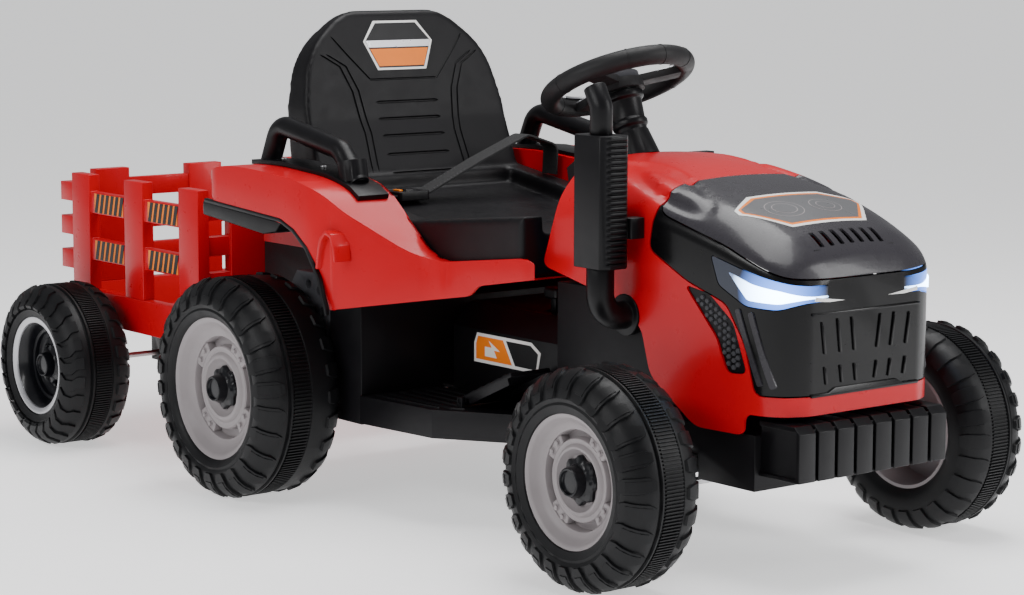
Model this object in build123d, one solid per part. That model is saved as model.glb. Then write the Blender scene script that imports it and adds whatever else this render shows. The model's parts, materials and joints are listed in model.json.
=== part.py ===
from build123d import *
import os
from collections import namedtuple
from math import radians, tan

# Battery ride-on toy tractor with a fenced trailer. Millimetres.
# X points forward, Y to the left, Z up. Pieces are laid out from the rear axle, with the
# floor at Z 0, and moved as they are written, so the origin lies under the middle.

# ---------------------------------------------------------------- driving dimensions
wheelbase = 658.0
running_clearance = 0.1          # radial play of a shaft in its bore
slide_clearance = 0.4            # play round a button, pedal or lever
joint_gap = 0.5                  # end play between pieces that turn on each other

Wheel = namedtuple("Wheel", "x radius width face rim_radius inset axle_radius")
rear_wheel = Wheel(0.0, 142.5, 115.5, 352.0, 90.4, 10.0, 6.0)
front_wheel = Wheel(wheelbase, 125.5, 97.0, 309.0, 75.0, 8.0, 5.0)
trailer_wheel = Wheel(-452.0, 114.4, 100.0, 359.0, 68.4, 8.0, 4.0)
tyre_wall = 3.0
tyre_shoulder = 18.0
rim_wall = 4.0
rim_dish = 26.0                  # how far the web lies behind the rim edge
hub_radius = 20.0
cap_radius = 27.0
cap_length = 24.0
axle_nut_radius = 11.0
axle_nut_length = 9.0

# chassis and floor
panel = 3.0                      # wall of the moulded shells
chassis_wall = 4.0
chassis_bottom = 98.0
floor_bottom = 108.0
floor_top = 145.0
deck_top = 312.0
chassis_rear = -130.0
rear_box_half = 180.0
rear_box_front = 108.0
skirt_front = 168.0
skirt_half = 232.0
skirt_top = 258.0
spine_half = 105.0
firewall_half = 132.0
firewall_back = wheelbase - 228.0
firewall_front = wheelbase - 46.0
nose_half = 122.0
nose_end = wheelbase + 102.0
nose_top = 171.0

# centre console, pedal and gear lever
console_back = 197.0
console_front = firewall_back
console_half = 110.0
console_top = 255.0
console_chamfer = 28.0
pedal_heel = (wheelbase - 348.0, 153.0)
pedal_length = 104.0
pedal_rise = 24.0                # degrees
pedal_inner = 122.0
pedal_outer = 182.0
pedal_plate = 5.0
pedal_pin_radius = 3.0
lever_x = wheelbase - 318.0
lever_y = -60.0
lever_height = 31.0
lever_pin_radius = 3.0

# rear body with the fenders
fender_half = 285.0
fender_top = 420.0
fender_rear = -128.0
sill_half = 190.0
sill_end = wheelbase - 203.0
well_half = 178.0                # seat well between the fenders
arch_edge = 357.0
arch_top_x = 67.0
arch_slope = 0.065
arch_front = 164.0
body_bottom = 256.0

# seat
seat_clearance = 1.5
seat_back_top = 615.0
seat_back_half = 164.0
seat_wall = 4.0
seat_side = 34.0                 # width of the raised sides of the pan
seat_front = wheelbase - 240.0

# hood, nose and bumper
hood_half = 142.0
hood_top = 452.0
hood_rear = wheelbase - 236.0
bumper_back = nose_end
bumper_front = wheelbase + 160.0
bumper_half = 116.0
bumper_bottom = 126.0
bumper_top = 188.0
bumper_ribs = 8
bumper_rib_height = 5.0
bumper_rib_gap = 5.0

# steering
steering_lean = 24.7             # degrees that the column leans back from upright
column_foot = (wheelbase - 74.0, 100.0)
column_radius = 6.0
steering_wheel_height = 538.0
steering_rim_radius = 85.0
steering_rim_thickness = 12.0
crank_length = 30.0
steering_arm = 50.0
kingpin_y = 190.0
kingpin_radius = 8.0
bush_radius = 14.0
bush_half_height = 18.5
knuckle_plate = 6.0
tie_rod_bottom = 86.0
tie_rod_plate = 6.0
tie_pin_radius = 3.0
tie_slot_play = 1.2
tie_washer_radius = 6.5
boot_radius = 26.0
button_radius = 8.0
button_height = 5.0

# grab handles
handle_y = 213.0
handle_radius = 13.5
handle_bend = 26.0
handle_strip_half = 23.0
handle_strip_height = 6.0

# exhaust stack
stack_x = wheelbase - 96.0
stack_y = -178.0
stack_radius = 16.0
stack_foot_z = 284.0
stack_tip_z = 545.0
guard_width = 62.0
guard_depth = 42.0
guard_bottom = 342.0
guard_top = 492.0
guard_ribs = 22

# belt
belt_width = 30.0
belt_thickness = 2.5
belt_x = 34.0
belt_clearance = 0.2
buckle_rim = 4.0
buckle_right = -100.0
buckle_left = -50.0
buckle_low = 371.4
buckle_height = 12.0

# fasteners
screw_radius = 4.0

# trailer
trailer_front = -201.0
trailer_rear = -586.0
trailer_half = 240.0
tub_bottom = 160.0
tub_top = 208.0
tub_floor = 4.0
fence_thickness = 18.0
fence_top = 373.0
rail_thickness = 12.0
post_width = 54.0
end_post_width = 56.0
end_post_y = 159.0
hitch_x = -150.0
hitch_plate = 6.0
hitch_z = 150.0
hitch_pin_radius = 4.0
drawbar_half = 15.0
bracket_y = 150.0

middle_x = (bumper_front + bumper_rib_height + trailer_rear) / 2


# ---------------------------------------------------------------- helpers
def block(x0, x1, y0, y1, z0, z1):
    """A straight block between two opposite corners."""
    corner = (Align.MIN, Align.MIN, Align.MIN)
    return Pos(x0, y0, z0) * Box(x1 - x0, y1 - y0, z1 - z0, align=corner)


def middle_block(x0, x1, half, z0, z1):
    """A block that is centred across the tractor."""
    return block(x0, x1, -half, half, z0, z1)


def outline(points):
    return make_face(Polyline(*points, close=True))


def side_slab(points, y0, y1):
    """A slab with its outline in X and Z, from y0 to y1."""
    face = Plane.XZ.offset(-y1) * outline(points)
    return extrude(face, y1 - y0, dir=(0, -1, 0))


def plan_slab(points, z0, z1):
    """A slab with its outline in X and Y, from z0 to z1."""
    return extrude(Pos(0, 0, z0) * outline(points), z1 - z0, dir=(0, 0, 1))


def front_slab(points, x0, x1):
    """A slab with its outline in Y and Z, from x0 to x1."""
    return extrude(Plane.YZ.offset(x0) * outline(points), x1 - x0, dir=(1, 0, 0))


def rod(start, end, radius):
    along = Vector(end) - Vector(start)
    seat_on = (Align.CENTER, Align.CENTER, Align.MIN)
    return Plane(start, z_dir=along) * Cylinder(radius, along.length, align=seat_on)


def pipe(points, radius, bend):
    path = FilletPolyline(*points, radius=bend)
    return sweep(Plane(path @ 0, z_dir=path % 0) * Circle(radius), path)


def flipped(part):
    """The same piece on the other side of the tractor."""
    return mirror(part, Plane.XZ)


def pair(part):
    """One node that holds the left and the right copy."""
    return Compound(children=[part, flipped(part)])


def on_side(part, side):
    """A piece drawn on the left, or its copy on the right when side is negative."""
    return part if side > 0 else flipped(part)


def mirrored_plan(points):
    """Close an outline that is drawn on the left side only."""
    return points + [(x, -y) for x, y in reversed(points) if y > 0]


# ---------------------------------------------------------------- wheels
def ring(r0, r1, y0, y1):
    """A rectangle to be turned: radius in X, distance from the middle plane in Y."""
    return Pos(r0, y0) * Rectangle(r1 - r0, y1 - y0, align=(Align.MIN, Align.MIN))


def turned(face, wheel):
    return Pos(wheel.x, 0, wheel.radius) * revolve(face, Axis.Y)


def tyre(wheel):
    """Hollow blow-moulded tyre, open towards the rim."""
    inner = wheel.face - wheel.width
    flare = wheel.rim_radius + wheel.inset
    skin = outline([
        (wheel.rim_radius, inner + wheel.inset),
        (flare, inner),
        (wheel.radius - tyre_shoulder, inner),
        (wheel.radius, inner + tyre_shoulder),
        (wheel.radius, wheel.face - tyre_shoulder),
        (wheel.radius - tyre_shoulder, wheel.face),
        (flare, wheel.face),
        (wheel.rim_radius, wheel.face - wheel.inset),
    ])
    mouth_edge = wheel.inset + 3 * tyre_wall
    mouth = ring(wheel.rim_radius - 1, wheel.rim_radius + 3 * tyre_wall,
                 inner + mouth_edge, wheel.face - mouth_edge)
    return turned(skin - offset(skin, -tyre_wall) - mouth, wheel)


def web_face(wheel):
    """Distance of the outer face of the rim's web from the middle plane."""
    return wheel.face - wheel.inset - rim_dish


def rim(wheel):
    inner = wheel.face - wheel.width
    face = web_face(wheel)
    bore = wheel.axle_radius + running_clearance
    barrel = ring(wheel.rim_radius - rim_wall, wheel.rim_radius,
                  inner + wheel.inset, wheel.face - wheel.inset)
    web = ring(bore, wheel.rim_radius, face - rim_wall, face)
    hub = ring(bore, hub_radius, inner + joint_gap, face)
    return turned(barrel + web + hub, wheel)


def hub_cap(wheel):
    face = web_face(wheel)
    cup = ring(0, cap_radius, face, face + cap_length)
    hollow = ring(0, cap_radius - panel, face, face + cap_length - panel)
    return turned(cup - hollow, wheel)


def rim_with_cap(wheel):
    return rim(wheel) + hub_cap(wheel)


def straight_axle(wheel):
    """A through axle with a nut outside each wheel's web."""
    nut_face = web_face(wheel) + joint_gap
    nut_end = nut_face + axle_nut_length
    centre = (wheel.x, wheel.radius)
    bar = rod((centre[0], -nut_end, centre[1]), (centre[0], nut_end, centre[1]),
              wheel.axle_radius)
    for side in (-1, 1):
        bar += rod((centre[0], side * nut_face, centre[1]),
                   (centre[0], side * nut_end, centre[1]), axle_nut_radius)
    return bar


def axle_hole(wheel, half):
    return rod((wheel.x, -half, wheel.radius), (wheel.x, half, wheel.radius),
               wheel.axle_radius + running_clearance)


# ---------------------------------------------------------------- steering axis
def on_column(height):
    """The point of the column's axis at a height above the floor."""
    x = column_foot[0] - (height - column_foot[1]) * tan(radians(steering_lean))
    return Vector(x, 0, height)


column_axis = (on_column(steering_wheel_height) - on_column(0)).normalized()
wheel_centre = on_column(steering_wheel_height)
wheel_plane = Plane(wheel_centre, x_dir=(0, -1, 0), z_dir=column_axis)


def on_hub(along):
    """Height of the column's axis at a distance from the steering wheel's plane."""
    return steering_wheel_height + along * column_axis.Z


def column_tube(z0, z1, radius):
    return rod(on_column(z0), on_column(z1), radius)


# ---------------------------------------------------------------- chassis
chassis_boxes = [
    # back, front, half width, bottom, top
    (chassis_rear, rear_box_front, rear_box_half, chassis_bottom, deck_top - chassis_wall),
    (rear_box_front - 2 * chassis_wall, skirt_front, skirt_half, floor_bottom, skirt_top),
    (skirt_front - 2 * chassis_wall, firewall_back + 2 * chassis_wall, spine_half,
     floor_bottom, floor_top + panel),
    (firewall_back, firewall_front, firewall_half, floor_bottom, deck_top - chassis_wall),
    (firewall_front - 2 * chassis_wall, nose_end, nose_half, floor_bottom, nose_top),
]


def front_beam_hole():
    return middle_block(wheelbase - 10, wheelbase + 10, kingpin_y,
                        floor_bottom - 1, front_wheel.radius + 10)


def gearbox_motor(margin=0.0):
    """Both motors, lying crosswise inside the rear box."""
    return [rod((66, side * 90, 205), (66, side * rear_box_half, 205), 19 + margin)
            for side in (-1, 1)]


def chassis():
    """Open-bottomed moulding: rear box, skirts, spine, firewall box and nose."""
    shell = None
    for back, front, half, bottom, top in chassis_boxes:
        solid = middle_block(back, front, half, bottom, top)
        shell = solid if shell is None else shell + solid
    for back, front, half, bottom, top in chassis_boxes:
        shell -= middle_block(back + chassis_wall, front - chassis_wall,
                              half - chassis_wall, bottom - 1, top - chassis_wall)
    shell -= axle_hole(rear_wheel, rear_box_half + 1)
    shell -= front_beam_hole()
    shell -= column_tube(chassis_bottom, deck_top + 40, column_radius + running_clearance)
    for motor in gearbox_motor(running_clearance):
        shell -= motor
    tongue = middle_block(hitch_x - drawbar_half, chassis_rear + chassis_wall,
                          1.4 * drawbar_half, hitch_z, hitch_z + hitch_plate)
    pin_hole = rod((hitch_x, 0, hitch_z - 1), (hitch_x, 0, hitch_z + hitch_plate + 1),
                   hitch_pin_radius)
    return shell + tongue - pin_hole


def gearboxes():
    """Two gear housings on the rear axle, each with its motor."""
    inner, outer = rear_box_half, skirt_half - 4
    housing = side_slab([(-45, 100), (60, 100), (96, 150), (96, 262), (64, 288),
                         (20, 288), (-45, 200)], inner, outer)
    for x, z in ((70, 266), (46, 272), (78, 240)):
        housing -= rod((x, inner - 1, z), (x, outer + 1, z), 6)
    boss_end = rear_wheel.face - rear_wheel.width
    housing += rod((0, outer, rear_wheel.radius), (0, boss_end, rear_wheel.radius), 22)
    housing += rod((66, 90, 205), (66, inner, 205), 19)
    return pair(housing - axle_hole(rear_wheel, boss_end + 1))


def battery():
    case = middle_block(console_back + 20, console_back + 171, 33,
                        floor_top + panel, floor_top + panel + 92)
    top = floor_top + panel + 92
    for side in (-1, 1):
        case += block(console_back + 26, console_back + 34, side * 20 - 3, side * 20 + 3,
                      top, top + 6)
    return case


def controller():
    """Receiver box under the top of the rear box."""
    ceiling = deck_top - 2 * chassis_wall
    return middle_block(-70, 20, 34, ceiling - 26, ceiling)


def footboard():
    """Left footboard, ribbed on top and hollow below."""
    plan = [(skirt_front, spine_half), (skirt_front, skirt_half + 3),
            (wheelbase - 357, skirt_half - 10), (wheelbase - 272, 165),
            (firewall_back - 2, firewall_half + 8), (firewall_back - 2, spine_half)]
    face = outline(plan)
    board = extrude(Pos(0, 0, floor_bottom + 2) * face, floor_top - floor_bottom - 2,
                    dir=(0, 0, 1))
    hollow = extrude(Pos(0, 0, floor_bottom) * offset(face, -chassis_wall),
                     floor_top - floor_bottom - chassis_wall, dir=(0, 0, 1))
    board -= hollow
    tread = extrude(Pos(0, 0, floor_top) * offset(face, -3 * chassis_wall), 2, dir=(0, 0, 1))
    for number in range(6):
        y = spine_half + 14 + 18 * number
        board += tread & block(skirt_front, firewall_back, y, y + 10, floor_top, floor_top + 2)
    return board


def footboards():
    """Both boards; the right one leaves room for the pedal's hinge."""
    right = flipped(footboard())
    right -= pedal_room()
    right += pedal_hinge_ears()
    return Compound(children=[footboard(), right])


# ---------------------------------------------------------------- pedal and lever
def pedal_room():
    x, z = pedal_heel
    return block(x - 9, x + pedal_length, -pedal_outer - 2, -pedal_inner + 2,
                 floor_top, floor_top + 3)


def pedal_hinge_ears():
    """Two ears on the right footboard that carry the pedal's pin."""
    x, z = pedal_heel
    ears = None
    for y in (-pedal_outer - 5, -pedal_inner + joint_gap):
        ear = block(x - 5, x + 5, y, y + 4.5, floor_top - 1, z + 5)
        ears = ear if ears is None else ears + ear
    hole = rod((x, -pedal_outer - 6, z), (x, -pedal_inner + 6, z),
               pedal_pin_radius + running_clearance)
    return ears - hole


def accelerator_pedal():
    x, z = pedal_heel
    pedal = block(0, pedal_length, -pedal_outer, -pedal_inner, 0, pedal_plate)
    for number in range(5):
        start = 14 + 17 * number
        pedal += block(start, start + 8, -pedal_outer + 4, -pedal_inner - 4,
                       pedal_plate, pedal_plate + 2)
    for y in (-pedal_outer, -pedal_inner - 4):
        pedal += block(12, pedal_length - 8, y, y + 4, -8, 0)
    pedal = Pos(x, 0, z) * Rot(0, -pedal_rise, 0) * pedal
    pin = rod((x, -pedal_outer - 4.5, z), (x, -pedal_inner + 4.5, z), pedal_pin_radius)
    boss = rod((x, -pedal_outer, z), (x, -pedal_inner, z), pedal_pin_radius + 3)
    return pedal + boss + pin


def gear_lever():
    """Forward and reverse lever with its crosswise pin."""
    foot = console_top - 12
    stem = block(lever_x - 5, lever_x + 5, lever_y - 5, lever_y + 5, foot,
                 console_top + lever_height - 10)
    knob = block(lever_x - 13, lever_x + 13, lever_y - 11, lever_y + 11,
                 console_top + lever_height - 14, console_top + lever_height)
    knob = fillet(knob.edges(), 4)
    pin = rod((lever_x, lever_y - 14, foot), (lever_x, lever_y + 14, foot), lever_pin_radius)
    return stem + knob + pin


def centre_console():
    """Cover over the battery, between the footboards."""
    base = floor_top + panel

    def shape(inset, top, bottom):
        half = console_half - inset
        low = top - console_chamfer
        return front_slab([(-half, bottom), (-half, low), (-half + console_chamfer, top),
                           (half - console_chamfer, top), (half, low), (half, bottom)],
                          console_back + inset, console_front - inset)

    cover = shape(0, console_top, base) - shape(panel, console_top - panel, base - 1)
    slot = block(lever_x - 17, lever_x + 17, lever_y - 5 - slide_clearance,
                 lever_y + 5 + slide_clearance, console_top - 5, console_top + 1)
    foot = console_top - 12
    for y in (lever_y - 14, lever_y + 9.5):
        cover += block(lever_x - 6, lever_x + 6, y, y + 4.5, foot - 6, console_top - panel)
    cover -= rod((lever_x, lever_y - 15, foot), (lever_x, lever_y + 15, foot),
                 lever_pin_radius + running_clearance)
    return cover - slot


# ---------------------------------------------------------------- rear body
def fender_line(lift=0.0):
    """Top line of the fender from the back to the sill."""
    return [(fender_rear, fender_top - 52 + lift), (fender_rear + 14, fender_top - 16 + lift),
            (-72, fender_top - 2 + lift), (0, fender_top + lift),
            (100, fender_top - 8 + lift), (150, fender_top - 20 + lift)]


def body_side(inset=0.0):
    """Side outline of the fender and the sill; inset makes the inside of the shell."""
    top = fender_line(-inset)
    top[0] = (fender_rear + inset, top[0][1])
    top[1] = (top[1][0] + inset / 2, top[1][1])
    return top + [(190, fender_top - 50 - inset), (225, fender_top - 85 - inset),
                  (257, deck_top + 4 - inset), (sill_end - inset, deck_top + 30 - inset),
                  (sill_end - inset, body_bottom - inset), (fender_rear + inset, body_bottom - inset)]


def body_shape(inset=0.0):
    plan = [(fender_rear + inset, 0), (fender_rear + inset, fender_half - 25),
            (fender_rear + 18, fender_half - inset), (140, fender_half - inset),
            (172, fender_half - 12 - inset), (258, sill_half + 5 - inset),
            (290, sill_half - inset), (sill_end - inset, sill_half - 8 - inset),
            (sill_end - inset, 0)]
    across = [(fender_half - inset, body_bottom - 1), (fender_half - inset, fender_top - 28),
              (fender_half - 8 - inset, fender_top - 8 - inset),
              (fender_half - 28 - inset, fender_top + 2 - inset)]
    half_across = across + [(-y, z) for y, z in reversed(across)]
    solid = plan_slab(mirrored_plan(plan), body_bottom - inset, fender_top + 5)
    solid &= side_slab(body_side(inset), -fender_half - 1, fender_half + 1)
    return solid & front_slab(half_across, fender_rear - 1, sill_end + 1)


def arch_line(x):
    """Height of the fender's lower edge behind the wheel's top."""
    return arch_edge + arch_slope * (arch_top_x - x)


def wheel_arch():
    """Space over a rear wheel, outside the seat well."""
    back = fender_rear - 20
    return side_slab([(arch_front, 0), (arch_front, body_bottom), (150, 290), (123, 327),
                      (98, 345), (arch_top_x, arch_edge), (back, arch_line(back)),
                      (back, 0)], well_half + chassis_wall, fender_half + 10)


def sill_cut():
    """The lower edge of the sill steps up towards the front."""
    return side_slab([(arch_front, body_bottom - 10), (arch_front, body_bottom),
                      (331, body_bottom + 28), (347, body_bottom + 42),
                      (sill_end + 5, body_bottom + 62), (sill_end + 5, body_bottom - 10)],
                     -fender_half - 5, fender_half + 5)


def rear_body():
    """Red shell: fenders, sills, seat deck and back panel."""
    outside = body_shape()
    shell = outside - body_shape(panel)
    deck = middle_block(fender_rear, sill_end, well_half + chassis_wall,
                        deck_top - chassis_wall, deck_top)
    for side in (-1, 1):
        wall = block(fender_rear, sill_end, well_half, well_half + chassis_wall,
                     deck_top - chassis_wall, fender_top + 5)
        shell += outside & on_side(wall, side)
    shell += outside & deck
    back_wall = middle_block(fender_rear, fender_rear + 22, well_half + 1, deck_top,
                             fender_top + 5)
    shell += outside & (back_wall - middle_block(fender_rear - 1, fender_rear + 19,
                                                 well_half + 2, deck_top, fender_top - 6))
    shell -= middle_block(fender_rear + 22, sill_end + 1, well_half, deck_top,
                          fender_top + 10)
    shell -= middle_block(fender_rear - 1, rear_box_front + 1, well_half + 5,
                          body_bottom - 5, deck_top - chassis_wall)
    for side in (-1, 1):
        shell -= on_side(wheel_arch(), side)
    return shell - sill_cut()


def grab_handle():
    """Left handle: bent tube on a strip that follows the fender's top."""
    line = fender_line()[2:]
    end = (168, fender_top - 31)
    strip = side_slab([(x, z) for x, z in line + [end]]
                      + [(end[0] + 2, end[1] + handle_strip_height)]
                      + [(x, z + handle_strip_height) for x, z in reversed(line)],
                      handle_y - handle_strip_half, handle_y + handle_strip_half)
    foot_z = fender_top
    tube = pipe([(-62, handle_y, foot_z), (-38, handle_y, 471), (100, handle_y, 446),
                 (138, handle_y, fender_top - 14)], handle_radius, handle_bend)
    cuff = rod((128, handle_y, fender_top - 12), (122, handle_y, fender_top + 14),
               handle_radius + 5)
    strip_top = side_slab(line + [end, (end[0], 0), (line[0][0], 0)],
                          handle_y - 60, handle_y + 60)
    return strip + (tube - strip_top) + (cuff - strip_top)


def tail_light_housing():
    back = fender_rear + 10
    return side_slab([(back, arch_line(back)), (back, arch_edge - 6),
                      (25, arch_edge - 19), (55, arch_edge - 14), (66, arch_line(66))],
                     fender_half - 42, fender_half - 2)


def tail_light_lens():
    lens = block(fender_rear + 4, fender_rear + 10, fender_half - 38, fender_half - 6,
                 arch_edge - 4, arch_edge + 9)
    return fillet(lens.edges().filter_by(Axis.X), 3)


# ---------------------------------------------------------------- seat and belt
def seat_pan_side():
    return [(-84, deck_top), (seat_front, deck_top), (seat_front, 386), (300, 374),
            (190, 362), (90, 383), (-20, 400), (-84, 410)]


def seat_back_side():
    return [(-84, deck_top), (-90, 400), (-98, 470), (-104, 540), (-101, seat_back_top - 10),
            (-92, seat_back_top), (-84, seat_back_top - 6), (-70, 560),
            (-46, 470), (-16, 400), (-16, deck_top)]


def seat_back_recess():
    """Hollow behind the backrest, a wall's thickness inside its front and its edge."""
    side = side_slab([(-120, deck_top + 8), (-120, seat_back_top - 12), (-96, seat_back_top - 12),
                      (-78, 560), (-54, 470), (-26, 400), (-26, deck_top + 8)],
                     -seat_back_half, seat_back_half)
    return side & extrude(Plane.YZ.offset(-120) * offset(seat_outline(), -2 * seat_wall), 140,
                          dir=(1, 0, 0))


def seat_outline():
    """Front view of the backrest, narrowing to a round top."""
    right = [(seat_back_half, deck_top), (seat_back_half, seat_back_top - 129),
             (seat_back_half - 16, seat_back_top - 55), (seat_back_half - 84, seat_back_top)]
    face = outline(right + [(-y, z) for y, z in reversed(right)])
    corners = face.vertices().filter_by(lambda corner: corner.Y > deck_top + 1)
    return fillet(corners, 100)


def seat():
    """Bucket seat: a pan with raised sides and a backrest, hollow below."""
    half = well_half - seat_clearance
    pan = side_slab(seat_pan_side(), -half, half)
    floor_line = [(-10, 378), (90, 361), (190, 346), (300, 352), (seat_front + 5, 366)]
    dish = side_slab([(-10, 500)] + floor_line + [(seat_front + 5, 500)],
                     -half + seat_side, half - seat_side)
    under = [(x, z - seat_wall - 1) for x, z in floor_line[:-1]]
    hollow = side_slab([(-78, deck_top - 1), (-78, 360)] + under
                       + [(seat_front - seat_wall, 355), (seat_front - seat_wall, deck_top - 1)],
                       -half + seat_wall, half - seat_wall)
    back = side_slab(seat_back_side(), -seat_back_half, seat_back_half)
    back &= extrude(Plane.YZ.offset(-120) * seat_outline(), 140, dir=(1, 0, 0))
    return pan - dish + (back - seat_back_recess()) - hollow


def belt_strap():
    """Stiff webbing that arches from the left side of the seat to the buckle."""
    arch = FilletPolyline((well_half - 12, deck_top + 80), (well_half - 10, 432), (118, 448),
                          (40, 418), (-50, 379), radius=14)
    long_half = extrude(Plane.YZ.offset(belt_x) * trace(arch, belt_thickness), belt_width,
                        dir=(1, 0, 0))
    start = Line((-100, 378), (-well_half + seat_clearance + seat_side + 1, 386))
    short_half = extrude(Plane.YZ.offset(belt_x) * trace(start, belt_thickness), belt_width,
                         dir=(1, 0, 0))
    room = buckle_case(belt_clearance)
    return Compound(children=[(long_half - room).solid(), (short_half - room).solid()])


def buckle_case(grow=0.0):
    """Box of the buckle, or the room that the webbing's ends leave round it."""
    return block(belt_x - buckle_rim - grow, belt_x + belt_width + buckle_rim + grow,
                 buckle_right - grow, buckle_left + grow,
                 buckle_low - grow, buckle_low + buckle_height + grow)


def belt_buckle():
    case = buckle_case()
    case = fillet(case.edges().filter_by(Axis.Z), 5)
    top = buckle_low + buckle_height
    press = block(belt_x + buckle_rim, belt_x + belt_width - buckle_rim, buckle_right + 16,
                  buckle_left - 14, top, top + 2.5)
    return case + press


# ---------------------------------------------------------------- hood and nose
def hood_loft(inset=0.0):
    """Outer or inner skin of the whole engine cover, nose included."""
    stations = [
        # from the front axle, half width, top, shoulder below top, top half width
        (-262, 8, 0, 56, 106), (-158, 2, 0, 46, 110), (-58, -2, 16, 34, 110),
        (42, -8, 40, 30, 102), (106, -15, 64, 26, 92), (132, -28, 84, 18, 80),
        (148, -58, 104, 12, 60),
    ]
    sections = []
    for forward, wider, drop, shoulder, top_half in stations:
        half = hood_half + wider - inset
        top = hood_top - drop - inset
        x = wheelbase + forward - (inset if forward > 140 else 0)
        points = [(-half, nose_top - 20), (-half, top - shoulder), (-top_half + inset, top),
                  (top_half - inset, top), (half, top - shoulder), (half, nose_top - 20)]
        sections.append(Plane.YZ.offset(x) * outline(points))
    return loft(sections, ruled=True)


def nose_zone(y0=-200, y1=200):
    """Side view of everything black at the nose: cap, lamps and grille."""
    x = wheelbase
    return side_slab([(x - 62, hood_top + 30), (x - 48, hood_top - 44), (x - 56, hood_top - 88),
                      (x + 3, hood_top - 118), (x + 64, hood_top - 138), (x + 92, hood_top - 181),
                      (x + 108, nose_top + 44), (x + 200, nose_top + 44),
                      (x + 200, hood_top + 30)], y0, y1)


def cap_zone():
    x = wheelbase
    return side_slab([(x - 70, hood_top + 40), (x - 44, hood_top - 46), (x + 139, hood_top - 107),
                      (x + 200, hood_top - 107), (x + 200, hood_top + 40)], -200, 200)


def lamp_zone():
    """Left lamp opening, wrapping round the front corner."""
    x = wheelbase
    zone = side_slab([(x + 40, hood_top - 84), (x + 52, hood_top - 120), (x + 96, hood_top - 138),
                      (x + 152, hood_top - 133), (x + 152, hood_top - 114),
                      (x + 130, hood_top - 108)], 60, 200)
    return zone


def vent_zone():
    x = wheelbase
    return side_slab([(x + 2, hood_top - 124), (x + 40, hood_top - 130), (x + 76, hood_top - 158),
                      (x + 96, hood_top - 212), (x + 68, hood_top - 214),
                      (x + 52, hood_top - 178)], 80, 200)


def hood_zone():
    """Side view of what the red cover keeps."""
    x = wheelbase
    return side_slab([(hood_rear, hood_top - 124), (hood_rear + 22, hood_top - 60),
                      (hood_rear + 24, hood_top + 30), (x + 200, hood_top + 30),
                      (x + 200, bumper_top + 7), (x + 92, bumper_top + 7), (x + 92, nose_top),
                      (x + 19, nose_top), (x - 53, nose_top + 49), (x - 68, nose_top + 102),
                      (x - 122, nose_top + 131)], -200, 200)


def cover_shell():
    return hood_loft() - hood_loft(panel)


def hood():
    shell = (cover_shell() & hood_zone()) - nose_zone()
    for side in (-1, 1):
        shell -= on_side(vent_zone(), side)
    shell -= column_tube(hood_top - 40, hood_top + 60, boot_radius + slide_clearance)
    return shell - exhaust_flange(slide_clearance)


def nose_cap():
    return cover_shell() & nose_zone() & cap_zone()


def grille():
    shell = (cover_shell() & nose_zone()) - cap_zone()
    for side in (-1, 1):
        shell -= on_side(lamp_zone(), side)
    return shell


def headlights():
    lamp = (cover_shell() & nose_zone() & lamp_zone()) - cap_zone()
    return pair(lamp)


def side_vents():
    return pair((cover_shell() & vent_zone()) - nose_zone())


def dashboard():
    """Panel behind the hood, with the boot round the steering column."""
    x = hood_rear
    half = 104

    def shape(inset):
        return side_slab([(x + 4 + inset, deck_top - inset), (x + inset, hood_top - 60),
                          (x - 10 + inset, hood_top - 12), (x + 8 + inset / 2, hood_top - inset),
                          (x + 22 + inset, hood_top - inset), (x + 22 + inset, deck_top - inset)],
                         -half + inset, half - inset)

    shell = shape(0) - shape(panel)
    boot = Solid.make_cone(boot_radius, boot_radius - 6, 34)
    boot = Plane(on_column(hood_top - 6), z_dir=column_axis) * boot
    shell += boot
    shell -= column_tube(hood_top - 60, hood_top + 60, column_radius + running_clearance)
    return shell - power_button_rod(slide_clearance)


def power_button_rod(margin=0.0):
    x = hood_rear
    height = hood_top - 42
    return rod((x - 10, 60, height), (x + 6.5, 60, height), 9 + margin)


def power_button():
    x = hood_rear
    height = hood_top - 42
    return power_button_rod() + rod((x + 2.5, 60, height), (x + 6.5, 60, height), 12)


def bumper():
    """Ribbed front weight, hollow from behind."""
    block_top = bumper_top - bumper_rib_height
    body = middle_block(bumper_back, bumper_front, bumper_half - 3, bumper_bottom, block_top)
    body -= middle_block(bumper_back - 1, bumper_front - chassis_wall,
                         bumper_half - 3 - chassis_wall, bumper_bottom + chassis_wall,
                         block_top - chassis_wall)
    pitch = (2 * bumper_half + bumper_rib_gap) / bumper_ribs
    for number in range(bumper_ribs):
        start = -bumper_half + number * pitch
        rib = block(bumper_back, bumper_front + bumper_rib_height, start,
                    start + pitch - bumper_rib_gap, bumper_bottom, bumper_top)
        rib -= block(bumper_back - 1, bumper_front - 1, start - 1, start + pitch,
                     bumper_bottom + chassis_wall, block_top - 1)
        rib = chamfer(rib.edges().filter_by(Axis.Y).group_by(Axis.X)[-1].group_by(Axis.Z)[-1], 8)
        body += rib
    return body


# ---------------------------------------------------------------- exhaust
def exhaust_flange(margin=0.0):
    return rod((stack_x, -firewall_half, stack_foot_z),
               (stack_x, -firewall_half - 10 - margin, stack_foot_z), stack_radius + 8 + margin)


def exhaust_pipe():
    """Stack on the right side, turned in to the firewall box at its foot."""
    foot = pipe([(stack_x, -firewall_half, stack_foot_z), (stack_x, stack_y, stack_foot_z),
                 (stack_x, stack_y, guard_bottom)], stack_radius, 28)
    tip = pipe([(stack_x, stack_y, guard_top), (stack_x, stack_y, stack_tip_z - 22),
                (stack_x - 12, stack_y, stack_tip_z)], stack_radius - 3, 14)
    return Compound(children=[(foot + exhaust_flange()).solid(), tip.solid()])


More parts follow.
